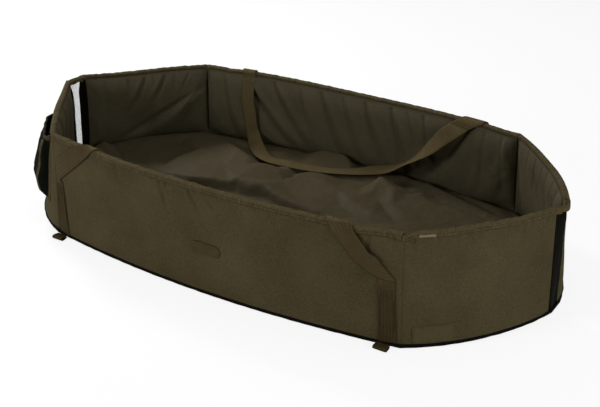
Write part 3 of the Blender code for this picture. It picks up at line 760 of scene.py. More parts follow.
def finer(coarse, shape):
    """A grid of moves on more rows and columns: straight lines between the old ones, then eased twice."""
    for axis in (0, 1):
        coarse = np.moveaxis(coarse, axis, 0)
        at = np.linspace(0, len(coarse) - 1, shape[axis])
        low = np.minimum(at.astype(int), len(coarse) - 2)
        share = (at - low)[:, None, None]
        coarse = np.moveaxis(mix(coarse[low], coarse[low + 1], share), 0, axis)
    return eased(eased(coarse))


def capped(moves, most):
    """Moves eased so that none is longer than most."""
    length = np.linalg.norm(moves, axis=2, keepdims=True)
    return moves * most * np.tanh(length / most) / np.maximum(length, 1e-9)


LINING_CAP = 0.008
INTO_FOAM = 0.0012
for panel in PANELS:
    share = stations(panel)
    coarse = stations(panel, 150 if is_long(panel) else 64)
    rows = np.linspace(lining_heights[0, 0], lining_heights[0, -1], 34)[None, :]
    inset = lining_inset(panel, coarse, rows)
    start = on_panel(panel, coarse, rows, inset)
    outward = facing(start, on_panel(panel, coarse, rows, inset - 0.001))
    held = np.ones(start.shape[:2])
    held[2:-2, 2:-3] = 0.0
    moves = let_go(start, held, 0.03 if is_long(panel) else 0.012, 0.6)
    sunk = np.maximum((moves * outward).sum(-1, keepdims=True) - INTO_FOAM, 0.0)
    moves = finer(capped(moves - sunk * outward, LINING_CAP), (len(share), WALL_ROWS))
    inset = lining_inset(panel, share, lining_heights)
    face, back = (on_panel(panel, share, lining_heights, inset - deep) + moves for deep in (0, CLOTH))
    lining = shell(f"{panel}_inner_cloth", face, back, lining_cloth, slot="lining_cloth")
    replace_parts(lining, f"{panel}_lining")


# Rim tapes: a band of woven tape folded over the top of each wall and sewn through with two rows
# of stitches. It is slightly wavy where the cloths gather into it.
TAPE = 0.0013
TAPE_GAP = 0.0010


def banded(ground):
    threads, fleck, cloud = weave(ground, 0.0021), ground.noise(0.0016, 2.0), ground.noise(0.04)
    puckers = streaks(ground, 0.35, 1.0, 0.0042)
    # The pucker streaks darken the tape's colour where they lower its relief: painted shade in the hollows of
    # the gathers.
    tone = 0.35 * cloud + 0.40 * fleck + 0.10 * threads + 0.9 * puckers - 0.36
    relief = threads * 0.00025 + fleck * 0.0004 + puckers * 0.0016
    return tone.between(dye(39, 34, 22), dye(98, 88, 63)), 0.85 + 0.1 * fleck, relief


tape_cloth = finish_of("olive_binding_tape", banded, 0.03)


def joined(along, *profiles):
    """Profiles in several parts, each joined into one row and repeated at every place along."""
    return [np.concatenate([part + 0 * along for part in parts], axis=1) for parts in profiles]


def tape_profile(panel, share, lift):
    """Inset and height of the folded tape's face, from its outer lower edge over the rim inwards."""
    turn = np.linspace(0, np.pi, 13)[None, :]
    sides = np.linspace(0, 1, 7)[None, :-1]
    out, back = gathers(panel, share, 0), gathers(panel, share, 1)
    knot = 0.0013 * np.exp(-((from_seams(panel, share) / 0.007) ** 2))
    outer, inner = -TAPE_GAP - TAPE - knot, RIM_DEPTH + TAPE_GAP + TAPE + knot
    middle, half = (outer + inner) / 2, (inner - outer) / 2
    along = place_along(panel, share)
    puffed = 0.0015 * ripples(along, (0.019, 0.031, 0.053), 7)
    gusts = 0.7 + 0.5 * ripples(along, (0.06, 0.11, 0.17), 11)
    ruffles = 0.0016 * ripples(along, (0.0063, 0.0081, 0.0118), 9) * gusts
    top = WALL_HEIGHT - half * 0.55 - lift
    up_out = mix(WALL_HEIGHT - TAPE_DROP - knot + 0.0010 * out, top, sides)
    up_in = mix(WALL_HEIGHT - INNER_TAPE_DROP - knot + 0.0010 * back, top, sides)[:, ::-1]
    belly = (0.0007 + ruffles) * np.sin(np.pi * sides)
    outside = outer - belly - 0.0006 * out * (1 - sides) + lift
    over = middle - (half - lift) * np.cos(turn) + puffed * 0.5
    inside = (inner + belly + 0.0006 * back * (1 - sides))[:, ::-1] - lift
    heights = (up_out, top + (half * 0.55 + puffed) * np.sin(turn), up_in)
    return joined(share, (outside, over, inside), heights)


for panel in PANELS:
    share = stations(panel, 320 if is_long(panel) else 150)
    face, back = (on_panel(panel, share, *tape_profile(panel, share, lift)[::-1]) for lift in (0.0, TAPE))
    tape = shell(f"{panel}_rim_tape", face, back, tape_cloth, slot="binding_tape")
    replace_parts(tape, f"{panel}_binding")


def spun(low, high):
    """The paint of a twisted thread, from a low colour to a high one."""

    def paint(ground):
        fleck = ground.noise(0.004)
        return fleck.between(low, high), 0.7 + 0.1 * fleck, fleck * 0.0001

    return paint


thread = finish_of("dark_olive_thread", spun(dye(26, 22, 13), dye(46, 39, 25)), 0.2)
pale_thread = finish_of("pale_olive_thread", spun(dye(52, 45, 31), dye(74, 65, 46)), 0.2)
STITCH = 0.0046
THREAD = 0.0006


def sewn(name, path, out, body="mat", pitch=STITCH, finish=thread):
    """A row of stitches along a path: short rounded bars that dip into the cloth at both ends."""
    steps = np.concatenate([[0], np.cumsum(np.linalg.norm(np.diff(path, axis=0), axis=1))])
    count = max(int(steps[-1] / pitch), 1)
    turn = np.linspace(0, 2 * np.pi, 5)[:-1]
    reach = np.array((0.06, 0.22, 0.5, 0.78, 0.94))
    lift = np.array((-0.6, 0.45, 0.8, 0.45, -0.6)) * THREAD
    girth = np.array((0.45, 0.95, 1.0, 0.95, 0.45)) * THREAD
    at = (np.arange(count)[:, None] + reach[None, :]) * pitch
    spot = np.stack([np.interp(at, steps, path[:, axis]) for axis in range(3)], -1)
    up = np.stack([np.interp(at, steps, out[:, axis]) for axis in range(3)], -1)
    along = np.gradient(spot, axis=1)
    aside = np.cross(along, up)
    aside = aside / np.linalg.norm(aside, axis=2, keepdims=True)
    ring = np.cos(turn)[:, None] * aside[:, :, None, :] + np.sin(turn)[:, None] * up[:, :, None, :]
    points = (spot + up * lift[:, None])[:, :, None, :] + girth[:, None, None] * ring
    index = np.arange(count * 20).reshape(count, 5, 4)
    around = np.concatenate([index, index[:, :, :1]], axis=2)
    corners = (around[:, :-1, :-1], around[:, :-1, 1:], around[:, 1:, 1:], around[:, 1:, :-1])
    sides = np.stack(corners, -1).reshape(-1, 4)
    caps = np.concatenate([index[:, 0, ::-1], index[:, -1, :]])
    return make(name, points.reshape(-1, 3), np.concatenate([sides, caps]), finish, body=body)


for panel in PANELS:
    share = stations(panel, 400)[:, 0]
    for side, sign, drop in (("outer", -1, TAPE_DROP), ("inner", 1, INNER_TAPE_DROP)):
        for row, above in (("lower", 0.0020), ("upper", 0.0076 if sign < 0 else 0.0046)):
            level = WALL_HEIGHT - drop + above
            insets, heights = tape_profile(panel, share[:, None], 0.0)
            half = slice(0, 7) if sign < 0 else slice(-1, -8, -1)
            inset = np.array([np.interp(level, h, i) for h, i in zip(heights[:, half], insets[:, half])])
            path = on_panel(panel, share, level, inset)
            out = facing(path, on_panel(panel, share, level, inset + sign * 0.001))
            sewn(f"{panel}_{side}_{row}_stitches", path[4:-4], out[4:-4])


# Drain nets: a strip of coarse black mesh in the slot at the tip of each end, sewn to the edges of
# the two end walls. Water runs out through it. The right one hangs slack and turns outwards.
NET_OUT = {"left": (0.002, 0.0), "right": (0.009, 0.004)}
END_SIGN = {"left": -1, "right": 1}
SIDE_SIGN = {"front": -1, "back": 1}


def corded(ground):
    fleck = ground.noise(0.0008, 2.0)
    return fleck.between(dye(12, 14, 11), dye(28, 31, 25)), 0.6 + 0.2 * fleck, fleck * 0.0002


net_cord = finish_of("black_net_cord", corded, 0.05)


def in_slot(end, across, height, inset):
    """Places in an end's slot: across it from -1 to 1, and bowed outwards where the net is slack."""
    across, height, inset = np.broadcast_arrays(np.asarray(across, float), height, inset)
    rise = height / WALL_HEIGHT
    top, middle = NET_OUT[end]
    bow = (top * smooth(2 * rise - 1) + middle * np.sin(np.pi * rise) ** 2) * (1 - across**2) ** 1.5
    reach = MAT_LENGTH / 2 - END_WALL_LEAN * rise - inset + bow
    lifts = [-rim_dip(f"{end}_{side}_end", END_PANEL) for side in SIDE_SIGN]
    lift = mix(*lifts, (across + 1) / 2) * rise**3
    aside = across * (NET_SLOT_WIDTH / 2 - 0.0004)
    return np.stack([END_SIGN[end] * reach, aside, height + lift - 0.002 * rise**2], -1)


def netting(name, grid, cord):
    """Crossed cords along the edges of a grid of places, knotted where they meet."""
    piece = make(name, grid.reshape(-1, 3), squares(indices(grid.shape[:2])), net_cord, slot="black_net")
    wire = piece.modifiers.new("cords", "WIREFRAME")
    wire.thickness, wire.use_even_offset, wire.use_boundary = cord, False, True
    return piece


NET_HEM = {"front": 0.015, "back": 0.008}
NET_INSET = 0.004
NET_CORD = 0.0010
for end in END_SIGN:
    across, up = np.linspace(-1, 1, 16)[:, None], np.linspace(0.006, WALL_HEIGHT - 0.006, 78)[None, :]
    mesh = netting(f"{end}_drain_net_mesh", in_slot(end, across, up, NET_INSET), NET_CORD)
    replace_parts(mesh, f"{end}_net")
    # Black tape round each upright edge of the net, over the edges of the two end walls
    for side, sign in SIDE_SIGN.items():
        panel = f"{end}_{side}_end"
        up = np.linspace(0.007, WALL_HEIGHT - 0.004, 60)[None, :]
        hem = NET_HEM[side] * (1 - 0.75 * smooth((up - 0.195) / 0.045))
        in_net = 1 - np.linspace(1, 0, 8)[:, None] * hem / (NET_SLOT_WIDTH / 2)
        beside = 1 - np.linspace(0.0, 0.006, 5)[1:, None] / panel_length(panel)
        wave = 0.0006 * ripples(up, (0.045, 0.071, 0.110), 90 + sign)
        for face, way in (("outer", -1), ("inner", 1)):
            over_net = in_slot(end, sign * in_net, up, NET_INSET + way * 0.0014 + wave)
            depth = cover_inset(panel, beside, up) - 0.0010
            finish, slot = black, "black_cloth"
            if face == "inner":
                depth = lining_inset(panel, beside, up) + 0.0012
            elif side == "back":
                finish, slot = cover_cloth, "cover_cloth"
            grid = np.concatenate([over_net, on_panel(panel, beside, up, depth)])
            cloth_of(f"{end}_{side}_{face}_net_hem", grid, 0.001 + 0 * grid[..., 0], finish, slot=slot)
    turn = np.linspace(0, np.pi, 15)[None, :]
    across = np.linspace(-1, 1, 40)[:, None]
    sides = np.linspace(0, 1, 6)[None, :-1]
    foot = WALL_HEIGHT - INNER_TAPE_DROP - 0.002 + 0.001 * np.sin(across * 5)
    faces = []
    for lift in (0.0, TAPE):
        half = RIM_DEPTH / 2 + TAPE_GAP + TAPE - lift
        top = WALL_HEIGHT - half * 0.5
        outside, inside = (RIM_DEPTH / 2 + way * half + 0 * sides for way in (-1, 1))
        rising = mix(foot, top, sides)
        heights = (rising, top + half * 0.5 * np.sin(turn), rising[:, ::-1])
        inset, height = joined(across, (outside, RIM_DEPTH / 2 - half * np.cos(turn), inside), heights)
        faces.append(in_slot(end, across, height, inset))
    tape = shell(f"{end}_net_rim_tape", *faces, tape_cloth, slot="binding_tape")
    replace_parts(tape, f"{end}_net_tape")


# Floor liner: one loose piece of coated olive cloth, laid over the base foam and caught in the
# seam at the foot of the walls. It is too big for the floor, so it lies in stiff, broad folds.
LINER_CLOTH = 0.0012
LINER_CAP = 0.003
# The liner's ridges, creases and outer corners: places along and across the mat, and heights over the foam
LINER_FOLDS = (
    (
        (-0.425, 0.020, 0.006), (-0.350, 0.005, 0.012), (-0.280, -0.005, 0.020), (-0.230, 0.005, 0.024),
        (-0.182, 0.022, 0.021), (-0.170, 0.038, 0.027), (-0.125, 0.024, 0.018), (-0.095, 0.042, 0.026),
        (-0.060, 0.028, 0.022), (-0.020, 0.020, 0.018), (0.020, 0.018, 0.014), (0.060, 0.020, 0.010),
        (0.095, 0.028, 0.006),
    ),
    (
        (-0.350, -0.018, 0.001), (-0.300, -0.020, 0.001), (-0.235, -0.008, 0.001), (-0.190, 0.006, 0.002),
        (-0.166, 0.020, 0.004), (-0.145, 0.012, 0.001), (-0.108, 0.020, 0.001), (-0.075, 0.020, 0.001),
        (-0.028, 0.007, 0.001), (0.015, 0.005, 0.001), (0.060, 0.007, 0.001),
    ),
    (
        (-0.418, 0.030, 0.005), (-0.349, 0.028, 0.012), (-0.291, 0.050, 0.016), (-0.241, 0.086, 0.018),
        (-0.206, 0.115, 0.021), (-0.168, 0.143, 0.025), (-0.136, 0.152, 0.021), (-0.118, 0.165, 0.014),
    ),
    ((-0.112, 0.137, 0.020), (-0.086, 0.105, 0.014), (-0.046, 0.076, 0.010), (0.006, 0.044, 0.009)),
    (
        (-0.392, 0.040, 0.008), (-0.385, 0.057, 0.012), (-0.382, 0.088, 0.015), (-0.375, 0.119, 0.016),
        (-0.362, 0.145, 0.018), (-0.340, 0.176, 0.020), (-0.307, 0.202, 0.024), (-0.261, 0.180, 0.027),
        (-0.223, 0.168, 0.023), (-0.190, 0.152, 0.016),
    ),
    ((-0.408, 0.053, 0.002), (-0.405, 0.085, 0.003), (-0.400, 0.119, 0.004), (-0.390, 0.150, 0.005)),
    ((-0.300, 0.240, 0.006), (-0.258, 0.208, 0.003), (-0.215, 0.192, 0.001), (-0.172, 0.176, 0.001)),
    ((-0.584, 0.082, 0.003), (-0.554, 0.099, 0.004), (-0.484, 0.092, 0.003), (-0.430, 0.077, 0.002)),
    ((-0.607, 0.055, 0.016), (-0.569, 0.026, 0.015), (-0.531, 0.001, 0.011)),
    ((-0.600, 0.080, 0.002), (-0.560, 0.050, 0.001), (-0.520, 0.027, 0.001)),
    ((-0.431, 0.194, 0.013), (-0.395, 0.165, 0.013)),
    ((-0.450, 0.182, 0.005), (-0.420, 0.160, 0.005)),
    (
        (-0.575, 0.125, 0.007), (-0.550, 0.155, 0.008), (-0.515, 0.188, 0.009), (-0.479, 0.210, 0.009),
        (-0.438, 0.225, 0.010), (-0.390, 0.240, 0.010), (-0.354, 0.255, 0.008),
    ),
    ((-0.095, 0.176, 0.002), (-0.080, 0.155, 0.003)),
    ((-0.069, 0.162, 0.015), (-0.016, 0.169, 0.014), (0.053, 0.138, 0.012), (0.095, 0.108, 0.015)),
    ((0.035, 0.203, 0.004), (0.085, 0.198, 0.003)),
    ((0.077, 0.242, 0.003), (0.100, 0.231, 0.004)),
    (
        (0.129, 0.206, 0.036), (0.171, 0.187, 0.029), (0.208, 0.188, 0.017), (0.230, 0.217, 0.019),
        (0.261, 0.193, 0.016), (0.288, 0.185, 0.014), (0.342, 0.193, 0.012), (0.410, 0.192, 0.008),
    ),
    ((0.129, 0.206, 0.036), (0.126, 0.163, 0.020), (0.108, 0.132, 0.014)),
    ((0.129, 0.206, 0.036), (0.152, 0.150, 0.010), (0.191, 0.121, 0.004), (0.242, 0.079, 0.004)),
    ((0.125, 0.262, 0.002), (0.162, 0.256, 0.002), (0.193, 0.238, 0.003), (0.212, 0.232, 0.003)),
    ((0.095, 0.108, 0.015), (0.182, 0.069, 0.014), (0.247, 0.055, 0.009)),
    ((0.095, 0.086, 0.004), (0.142, 0.058, 0.003), (0.185, 0.045, 0.003)),
    ((0.201, 0.136, 0.013), (0.235, 0.110, 0.012), (0.269, 0.085, 0.007)),
    (
        (0.222, 0.250, 0.004), (0.255, 0.240, 0.003), (0.293, 0.228, 0.002), (0.345, 0.220, 0.002),
        (0.400, 0.210, 0.002),
    ),
    (
        (0.160, 0.285, 0.014), (0.224, 0.275, 0.017), (0.277, 0.260, 0.016), (0.335, 0.244, 0.013),
        (0.400, 0.226, 0.008),
    ),
    ((0.200, 0.296, 0.004), (0.260, 0.286, 0.003), (0.330, 0.266, 0.003), (0.410, 0.240, 0.002)),
    ((0.270, 0.298, 0.009), (0.340, 0.284, 0.010), (0.400, 0.262, 0.008), (0.440, 0.240, 0.004)),
    (
        (-0.220, 0.232, 0.008), (-0.165, 0.226, 0.009), (-0.105, 0.230, 0.009), (-0.035, 0.243, 0.009),
        (0.026, 0.262, 0.009), (0.070, 0.278, 0.008),
    ),
    ((-0.125, 0.268, 0.008), (-0.085, 0.290, 0.024), (-0.023, 0.303, 0.026), (-0.004, 0.306, 0.012)),
    ((0.006, 0.308, 0.001), (0.040, 0.310, 0.001)),
    ((-0.240, 0.256, 0.008), (-0.180, 0.262, 0.013), (-0.142, 0.280, 0.006)),
    ((-0.560, -0.060, 0.006), (-0.470, -0.090, 0.017), (-0.380, -0.070, 0.008)),
    ((-0.360, -0.130, 0.003), (-0.220, -0.090, 0.019), (-0.080, -0.120, 0.015), (0.030, -0.080, 0.006)),
    ((-0.300, -0.060, 0.002), (-0.180, -0.045, 0.001), (-0.060, -0.060, 0.002)),
    ((0.090, -0.060, 0.008), (0.220, -0.020, 0.019), (0.330, -0.040, 0.012), (0.430, 0.000, 0.004)),
    ((0.130, -0.120, 0.002), (0.260, -0.090, 0.002), (0.380, -0.120, 0.002)),
    ((0.100, -0.210, 0.006), (0.220, -0.180, 0.017), (0.340, -0.210, 0.008)),
    ((-0.420, -0.180, 0.006), (-0.300, -0.220, 0.015), (-0.170, -0.200, 0.006)),
    ((-0.130, -0.180, 0.002), (0.000, -0.190, 0.003)),
    ((0.430, 0.130, 0.006), (0.510, 0.080, 0.016), (0.585, 0.015, 0.008)),
    ((0.430, -0.160, 0.005), (0.510, -0.080, 0.014), (0.580, -0.040, 0.005)),
    ((0.470, 0.010, 0.002), (0.550, -0.020, 0.002)),
    ((-0.066, -0.280, 0.008), (0.000, -0.266, 0.008), (0.066, -0.274, 0.008)),
    (
        (-0.70, 0.0, 0.003), (-0.47, 0.34, 0.003), (0.0, 0.38, 0.003), (0.47, 0.34, 0.003),
        (0.70, 0.0, 0.003),
    ),
    (
        (-0.70, 0.0, 0.003), (-0.47, -0.34, 0.003), (0.0, -0.38, 0.003), (0.47, -0.34, 0.003),
        (0.70, 0.0, 0.003),
    ),
)


def fold_relief(x, y):
    """Height of the folded liner: flat faces of stiff cloth, straight between its ridges and creases."""
    lines = [np.array(line) for line in LINER_FOLDS]
    knots = np.concatenate(lines)
    firsts = np.cumsum([0] + [len(line) for line in lines])
    edges = [(at, at + 1) for first, beyond in zip(firsts, firsts[1:]) for at in range(first, beyond - 1)]
    made = delaunay_2d_cdt([Vector(knot) for knot in knots[:, :2]], edges, [], 0, 0.00001)
    corners = np.array([[*corner] for corner in made[0]])
    heights = np.array([knots[came_from[0], 2] for came_from in made[3]])
    relief = 0 * x
    for face in made[2]:
        (ax, ay), (bx, by), (cx, cy) = corners[face]
        twice = (bx - ax) * (cy - ay) - (by - ay) * (cx - ax)
        of_b = ((x - ax) * (cy - ay) - (y - ay) * (cx - ax)) / twice
        of_c = ((bx - ax) * (y - ay) - (by - ay) * (x - ax)) / twice
        inside = (of_b >= -1e-6) & (of_c >= -1e-6) & (of_b + of_c <= 1 + 1e-6)
        a, b, c = heights[face]
        relief = np.where(inside, a + of_b * (b - a) + of_c * (c - a), relief)
    return relief


liner = across_floor(BASE_HEIGHT, RIM_DEPTH + 0.003, (70, 186), 151)
room = from_walls(liner, 0.014)
x, y = liner[..., 0], liner[..., 1]
puff = ripples(x + 0.5 * y, (0.09, 0.14, 0.23), 31) * ripples(y - 0.4 * x, (0.11, 0.17, 0.26), 32)
crumple = ripples(x - 0.7 * y, (0.031, 0.043, 0.059), 33) * ripples(y + 0.3 * x, (0.037, 0.053, 0.071), 34)
rise = 1.3 * fold_relief(x, y) * smooth(room / 0.03) + 0.002 * smooth(room / 0.02)
rise = rise + (0.00125 * puff + 0.00072 * crumple) * smooth(room / 0.06)
liner[..., 2] = BASE_HEIGHT + 0.0014 + np.maximum(eased(rise), 0.0)
start = liner[::2, ::2]
held = 1 - smooth(room[::2, ::2] / 0.02)
moves = let_go(start, held, 0.025, 0.7, floor=BASE_HEIGHT, bend=0.3)
liner += finer(capped(moves, LINER_CAP), liner.shape[:2])
liner[..., 2] = np.maximum(liner[..., 2], BASE_HEIGHT + 0.0010)


def coated_liner(ground):
    cloud, crease, fleck = ground.noise(0.08), ground.noise(0.012, 4.0), ground.noise(0.0014, 2.0)
    tone = 0.5 * cloud + 0.35 * crease + 0.15 * fleck
    relief = crease * 0.0009 + fleck * 0.00012 + crumpled(ground, 0.045) * 0.0050
    return tone.between(dye(49, 44, 33), dye(75, 68, 52)), 0.52 + 0.14 * crease, relief


liner_cloth = finish_of("olive_liner_cloth", coated_liner, 0.03)
liner_sheet = cloth_of("floor_liner_cloth", liner, LINER_CLOTH + 0 * x, liner_cloth, slot="liner_cloth")
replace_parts(liner_sheet, "floor_liner")


# Webbing: ribbed olive strap. On each long side one length is sewn up the wall at two places,
# folds over at a box of stitches, leads across the rim and hangs slack inside as a carry handle.
WEBBING_WIDTH = 0.037
WEBBING = 0.0018


def ribbed(ground, low, high):
    """Ribs along the webbing crossed by fine threads, in colours from low to high."""
    across, along = cloth_map(ground)
    ribs, fleck, cloud = across.wave(0.0034), ground.noise(0.0016, 2.0), ground.noise(0.05)
    threads = along.wave(0.0031) * ribs
    tone = 0.4 * cloud + 0.40 * fleck + 0.12 * ribs + 0.08 * across.wave(0.0074) + 0.06 * threads + 0.1
    return tone.between(low, high), 0.78 + 0.15 * fleck, ribs * 0.00030 + threads * 0.00014


def loose_webbing(ground):
    return ribbed(ground, dye(48, 42, 28), dye(98, 86, 61))


def sewn_webbing(ground):
    """Darker on the length below the fold, lighter where it leads off to the rim."""
    height = ground.add("SeparateXYZ", None, {0: ground.add("TexCoord", out=3)}, out=2)
    # A smooth step in height at the fold, 105 mm up: darker colours below it, lighter above.
    above_fold = ground.maths("SMOOTH_MAX", (height - 0.105) * 25, 0.0, 0.2)
    low = above_fold.between(dye(34, 29, 19), dye(40, 34, 23))
    return ribbed(ground, low, above_fold.between(dye(72, 62, 43), dye(84, 73, 52)))


webbing = finish_of("olive_webbing", loose_webbing, 0.03)
strap_webbing = finish_of("dark_olive_webbing", sewn_webbing, 0.03)


def band(name, low_edge, high_edge, across=13, thickness=WEBBING, finish=strap_webbing, **told):
    """Webbing between two edge paths, a little thicker at its woven edges."""
    share = np.linspace(0, 1, across)[None, :, None]
    grid = mix(low_edge[:, None, :], high_edge[:, None, :], share)
    from_middle = np.abs(2 * share[..., 0] - 1)
    bead = 1 + 0.25 * np.exp(-(((from_middle - 0.94) / 0.06) ** 2)) - 0.5 * (from_middle > 0.99)
    return cloth_of(name, grid, thickness * bead + 0 * grid[..., 0], finish, slot="webbing", **told)


def curve(rows, steps):
    """A smooth curve through rows of numbers, with steps places from each to the next."""
    rows = np.array(rows, float)
    ends = np.concatenate([rows[:1], rows, rows[-1:]])
    before, start, finish, after = (ends[first : first + len(rows) - 1, None, :] for first in range(4))
    share = (np.arange(steps) / steps)[None, :, None]
    made = 2 * start + (finish - before) * share + (2 * before - 5 * start + 4 * finish - after) * share**2
    made = (made + (3 * start - before - 3 * finish + after) * share**3) / 2
    return np.concatenate([made.reshape(-1, rows.shape[1]), rows[-1:]])


OVER_RIM = 0.0165


def on_wall_and_rim(side, along, way, off):
    """Places off a long wall by off, from the way round it.

    Below 0 the way goes up the outside, then over the rim in a half turn, and then down inside.
    """
    panel = f"{side}_wall"
    share = share_at(along)
    outer, inner = -TAPE_GAP - TAPE, RIM_DEPTH + TAPE_GAP + TAPE
    half, top = (inner - outer) / 2, WALL_HEIGHT - 0.003
    turn = np.clip(way / OVER_RIM, 0, 1) * np.pi
    deep = np.maximum(way - OVER_RIM, 0)
    height = top + np.minimum(way, 0) + (0.003 + off) * np.sin(turn) - deep
    lining = np.maximum(lining_inset(panel, share, height), inner)
    inside = mix(inner, lining, smooth((deep - 0.008) / 0.02)) + off
    on_cloth = cover_inset(panel, share, height) - off
    outside = mix(on_cloth, np.minimum(outer - off, on_cloth), smooth((way + 0.03) / 0.014))
    over = (outer + inner) / 2 - (half + off) * np.cos(turn)
    return on_panel(panel, share, height, np.select([way > OVER_RIM, way < 0], [inside, outside], over))


# Each strap as two edges: place along the mat, way round the wall and stand-off of the edge nearer the
# mat's middle, then of the other. The first row is at the foot, the next two are both sides of the fold.
STRAP_ROWS = {
    "front_right": (
        (0.3980, -0.2295, 0.0014, 0.4335, -0.2295, 0.0014),
        (0.3935, -0.0590, 0.0014, 0.4262, -0.0970, 0.0014),
        (0.3950, -0.0585, 0.0048, 0.4270, -0.0968, 0.0034),
        (0.3927, -0.0512, 0.0080, 0.4092, -0.0974, 0.0034),
        (0.3805, -0.0437, 0.0100, 0.3900, -0.0920, 0.0036),
        (0.3714, -0.0346, 0.0105, 0.3634, -0.0778, 0.0038),
        (0.3570, -0.0160, 0.0080, 0.3375, -0.0569, 0.0036),
        (0.3456, -0.0040, 0.0050, 0.3152, -0.0350, 0.0034),
        (0.3390, 0.0040, 0.0036, 0.3009, -0.0169, 0.0032),
        (0.3330, 0.0100, 0.0034, 0.2850, 0.0030, 0.0034),
        (0.3260, 0.0165, 0.0026, 0.2780, 0.0125, 0.0030),
        (0.3170, 0.0230, 0.0020, 0.2700, 0.0200, 0.0022),
        (0.3040, 0.0330, 0.0030, 0.2590, 0.0300, 0.0030),
    ),
    "front_left": (
        (0.3960, -0.2295, 0.0014, 0.4320, -0.2295, 0.0014),
        (0.4060, -0.1040, 0.0014, 0.4340, -0.0560, 0.0014),
        (0.4245, -0.1035, 0.0034, 0.4262, -0.0505, 0.0048),
        (0.4007, -0.0853, 0.0036, 0.4128, -0.0400, 0.0078),
        (0.3747, -0.0631, 0.0038, 0.3862, -0.0212, 0.0090),
        (0.3495, -0.0415, 0.0038, 0.3655, -0.0070, 0.0070),
        (0.3216, -0.0160, 0.0034, 0.3470, 0.0030, 0.0042),
        (0.3040, 0.0030, 0.0032, 0.3310, 0.0090, 0.0034),
        (0.2930, 0.0125, 0.0030, 0.3200, 0.0165, 0.0028),
        (0.2820, 0.0200, 0.0022, 0.3100, 0.0235, 0.0022),
        (0.2640, 0.0290, 0.0030, 0.2980, 0.0340, 0.0030),
    ),
    "back_right": (
        (0.3950, -0.2295, 0.0014, 0.4310, -0.2295, 0.0014),
        (0.3970, -0.0700, 0.0014, 0.4310, -0.1010, 0.0014),
        (0.3960, -0.0690, 0.0044, 0.4320, -0.1005, 0.0034),
        (0.3950, -0.0610, 0.0064, 0.4100, -0.0950, 0.0034),
        (0.3860, -0.0450, 0.0080, 0.3800, -0.0780, 0.0036),
        (0.3700, -0.0230, 0.0070, 0.3420, -0.0480, 0.0036),
        (0.3570, -0.0060, 0.0040, 0.3140, -0.0180, 0.0034),
        (0.3510, 0.0040, 0.0034, 0.2960, 0.0040, 0.0032),
        (0.3420, 0.0165, 0.0030, 0.2840, 0.0125, 0.0030),
        (0.3300, 0.0230, 0.0056, 0.2740, 0.0200, 0.0056),
        (0.3100, 0.0360, 0.0080, 0.2600, 0.0300, 0.0080),
    ),
    "back_left": (
        (0.3950, -0.2295, 0.0014, 0.4310, -0.2295, 0.0014),
        (0.3930, -0.0700, 0.0014, 0.4270, -0.1010, 0.0014),
        (0.3920, -0.0690, 0.0044, 0.4280, -0.1005, 0.0034),
        (0.3890, -0.0600, 0.0064, 0.4060, -0.0950, 0.0034),
        (0.3800, -0.0430, 0.0080, 0.3760, -0.0780, 0.0036),
        (0.3620, -0.0240, 0.0070, 0.3360, -0.0500, 0.0036),
        (0.3420, -0.0080, 0.0044, 0.3050, -0.0220, 0.0034),
        (0.3330, 0.0040, 0.0034, 0.2950, 0.0000, 0.0032),
        (0.3280, 0.0165, 0.0026, 0.2910, 0.0125, 0.0026),
        (0.3250, 0.0240, 0.0020, 0.2890, 0.0210, 0.0020),
        (0.3240, 0.0380, 0.0026, 0.2870, 0.0370, 0.0026),
    ),
}
RIM_ROW = {"front_right": 9, "front_left": 7, "back_right": 7, "back_left": 7}
# Each handle inside the mat, from its left crossing to its right: share of half the seam spacing,
# slack taken up, rise from the floor to the rim, how far its face has turned up
HANDLE_ROUTES = {
    "back": (
        (-0.690, 0.02, 0.62, 0.0),
        (-0.680, 0.03, 0.44, 0.0),
        (-0.675, 0.03, 0.21, 0.05),
        (-0.649, 0.15, 0.05, 0.35),
        (-0.565, 0.60, 0.00, 0.75),
        (-0.478, 0.96, -0.01, 1.0),
        (-0.400, 1.10, -0.01, 1.05),
        (-0.316, 1.10, -0.01, 1.0),
        (-0.207, 1.05, -0.01, 1.0),
        (-0.057, 0.94, -0.01, 1.05),
        (0.066, 0.66, -0.01, 1.0),
        (0.171, 0.36, 0.01, 0.85),
        (0.275, 0.22, 0.09, 0.88),
        (0.385, 0.15, 0.27, 0.9),
        (0.501, 0.12, 0.52, 0.6),
        (0.581, 0.08, 0.73, 0.2),
    ),
    "front": (
        (-0.520, 0.03, 0.76, 0.0),
        (-0.400, 0.06, 0.52, 0.0),
        (-0.280, 0.14, 0.28, 0.1),
        (-0.150, 0.34, 0.10, 0.5),
        (0.000, 0.50, 0.02, 0.9),
        (0.150, 0.42, 0.03, 0.8),
        (0.280, 0.22, 0.13, 0.3),
        (0.400, 0.10, 0.33, 0.0),
        (0.490, 0.05, 0.56, 0.0),
    ),
}
HANDLE_SLACK = 0.100
HANDLE_LOW = BASE_HEIGHT + 0.0195
AXIS = {"front": (-0.28069, 0.2422), "back": (0.28507, 0.2422)}


def strap_edges(side, end, inside):
    """A strap's two edge paths: from its foot over the fold to the rim, or from the rim to its end inside."""
    rows = np.array(STRAP_ROWS[f"{side}_{end}"])
    rim = (RIM_ROW[f"{side}_{end}"] - 2) * 8
    loose = curve(rows[2:], 8)
    if inside:
        path = loose[rim:]
    else:
        sewn_up = mix(rows[0], rows[1], np.linspace(0, 1, 50)[:, None])
        path = np.concatenate([sewn_up, loose[: rim + 1]])
    sign = END_SIGN[end]
    return [on_wall_and_rim(side, sign * path[:, at], path[:, at + 1], path[:, at + 2]) for at in (0, 3)]


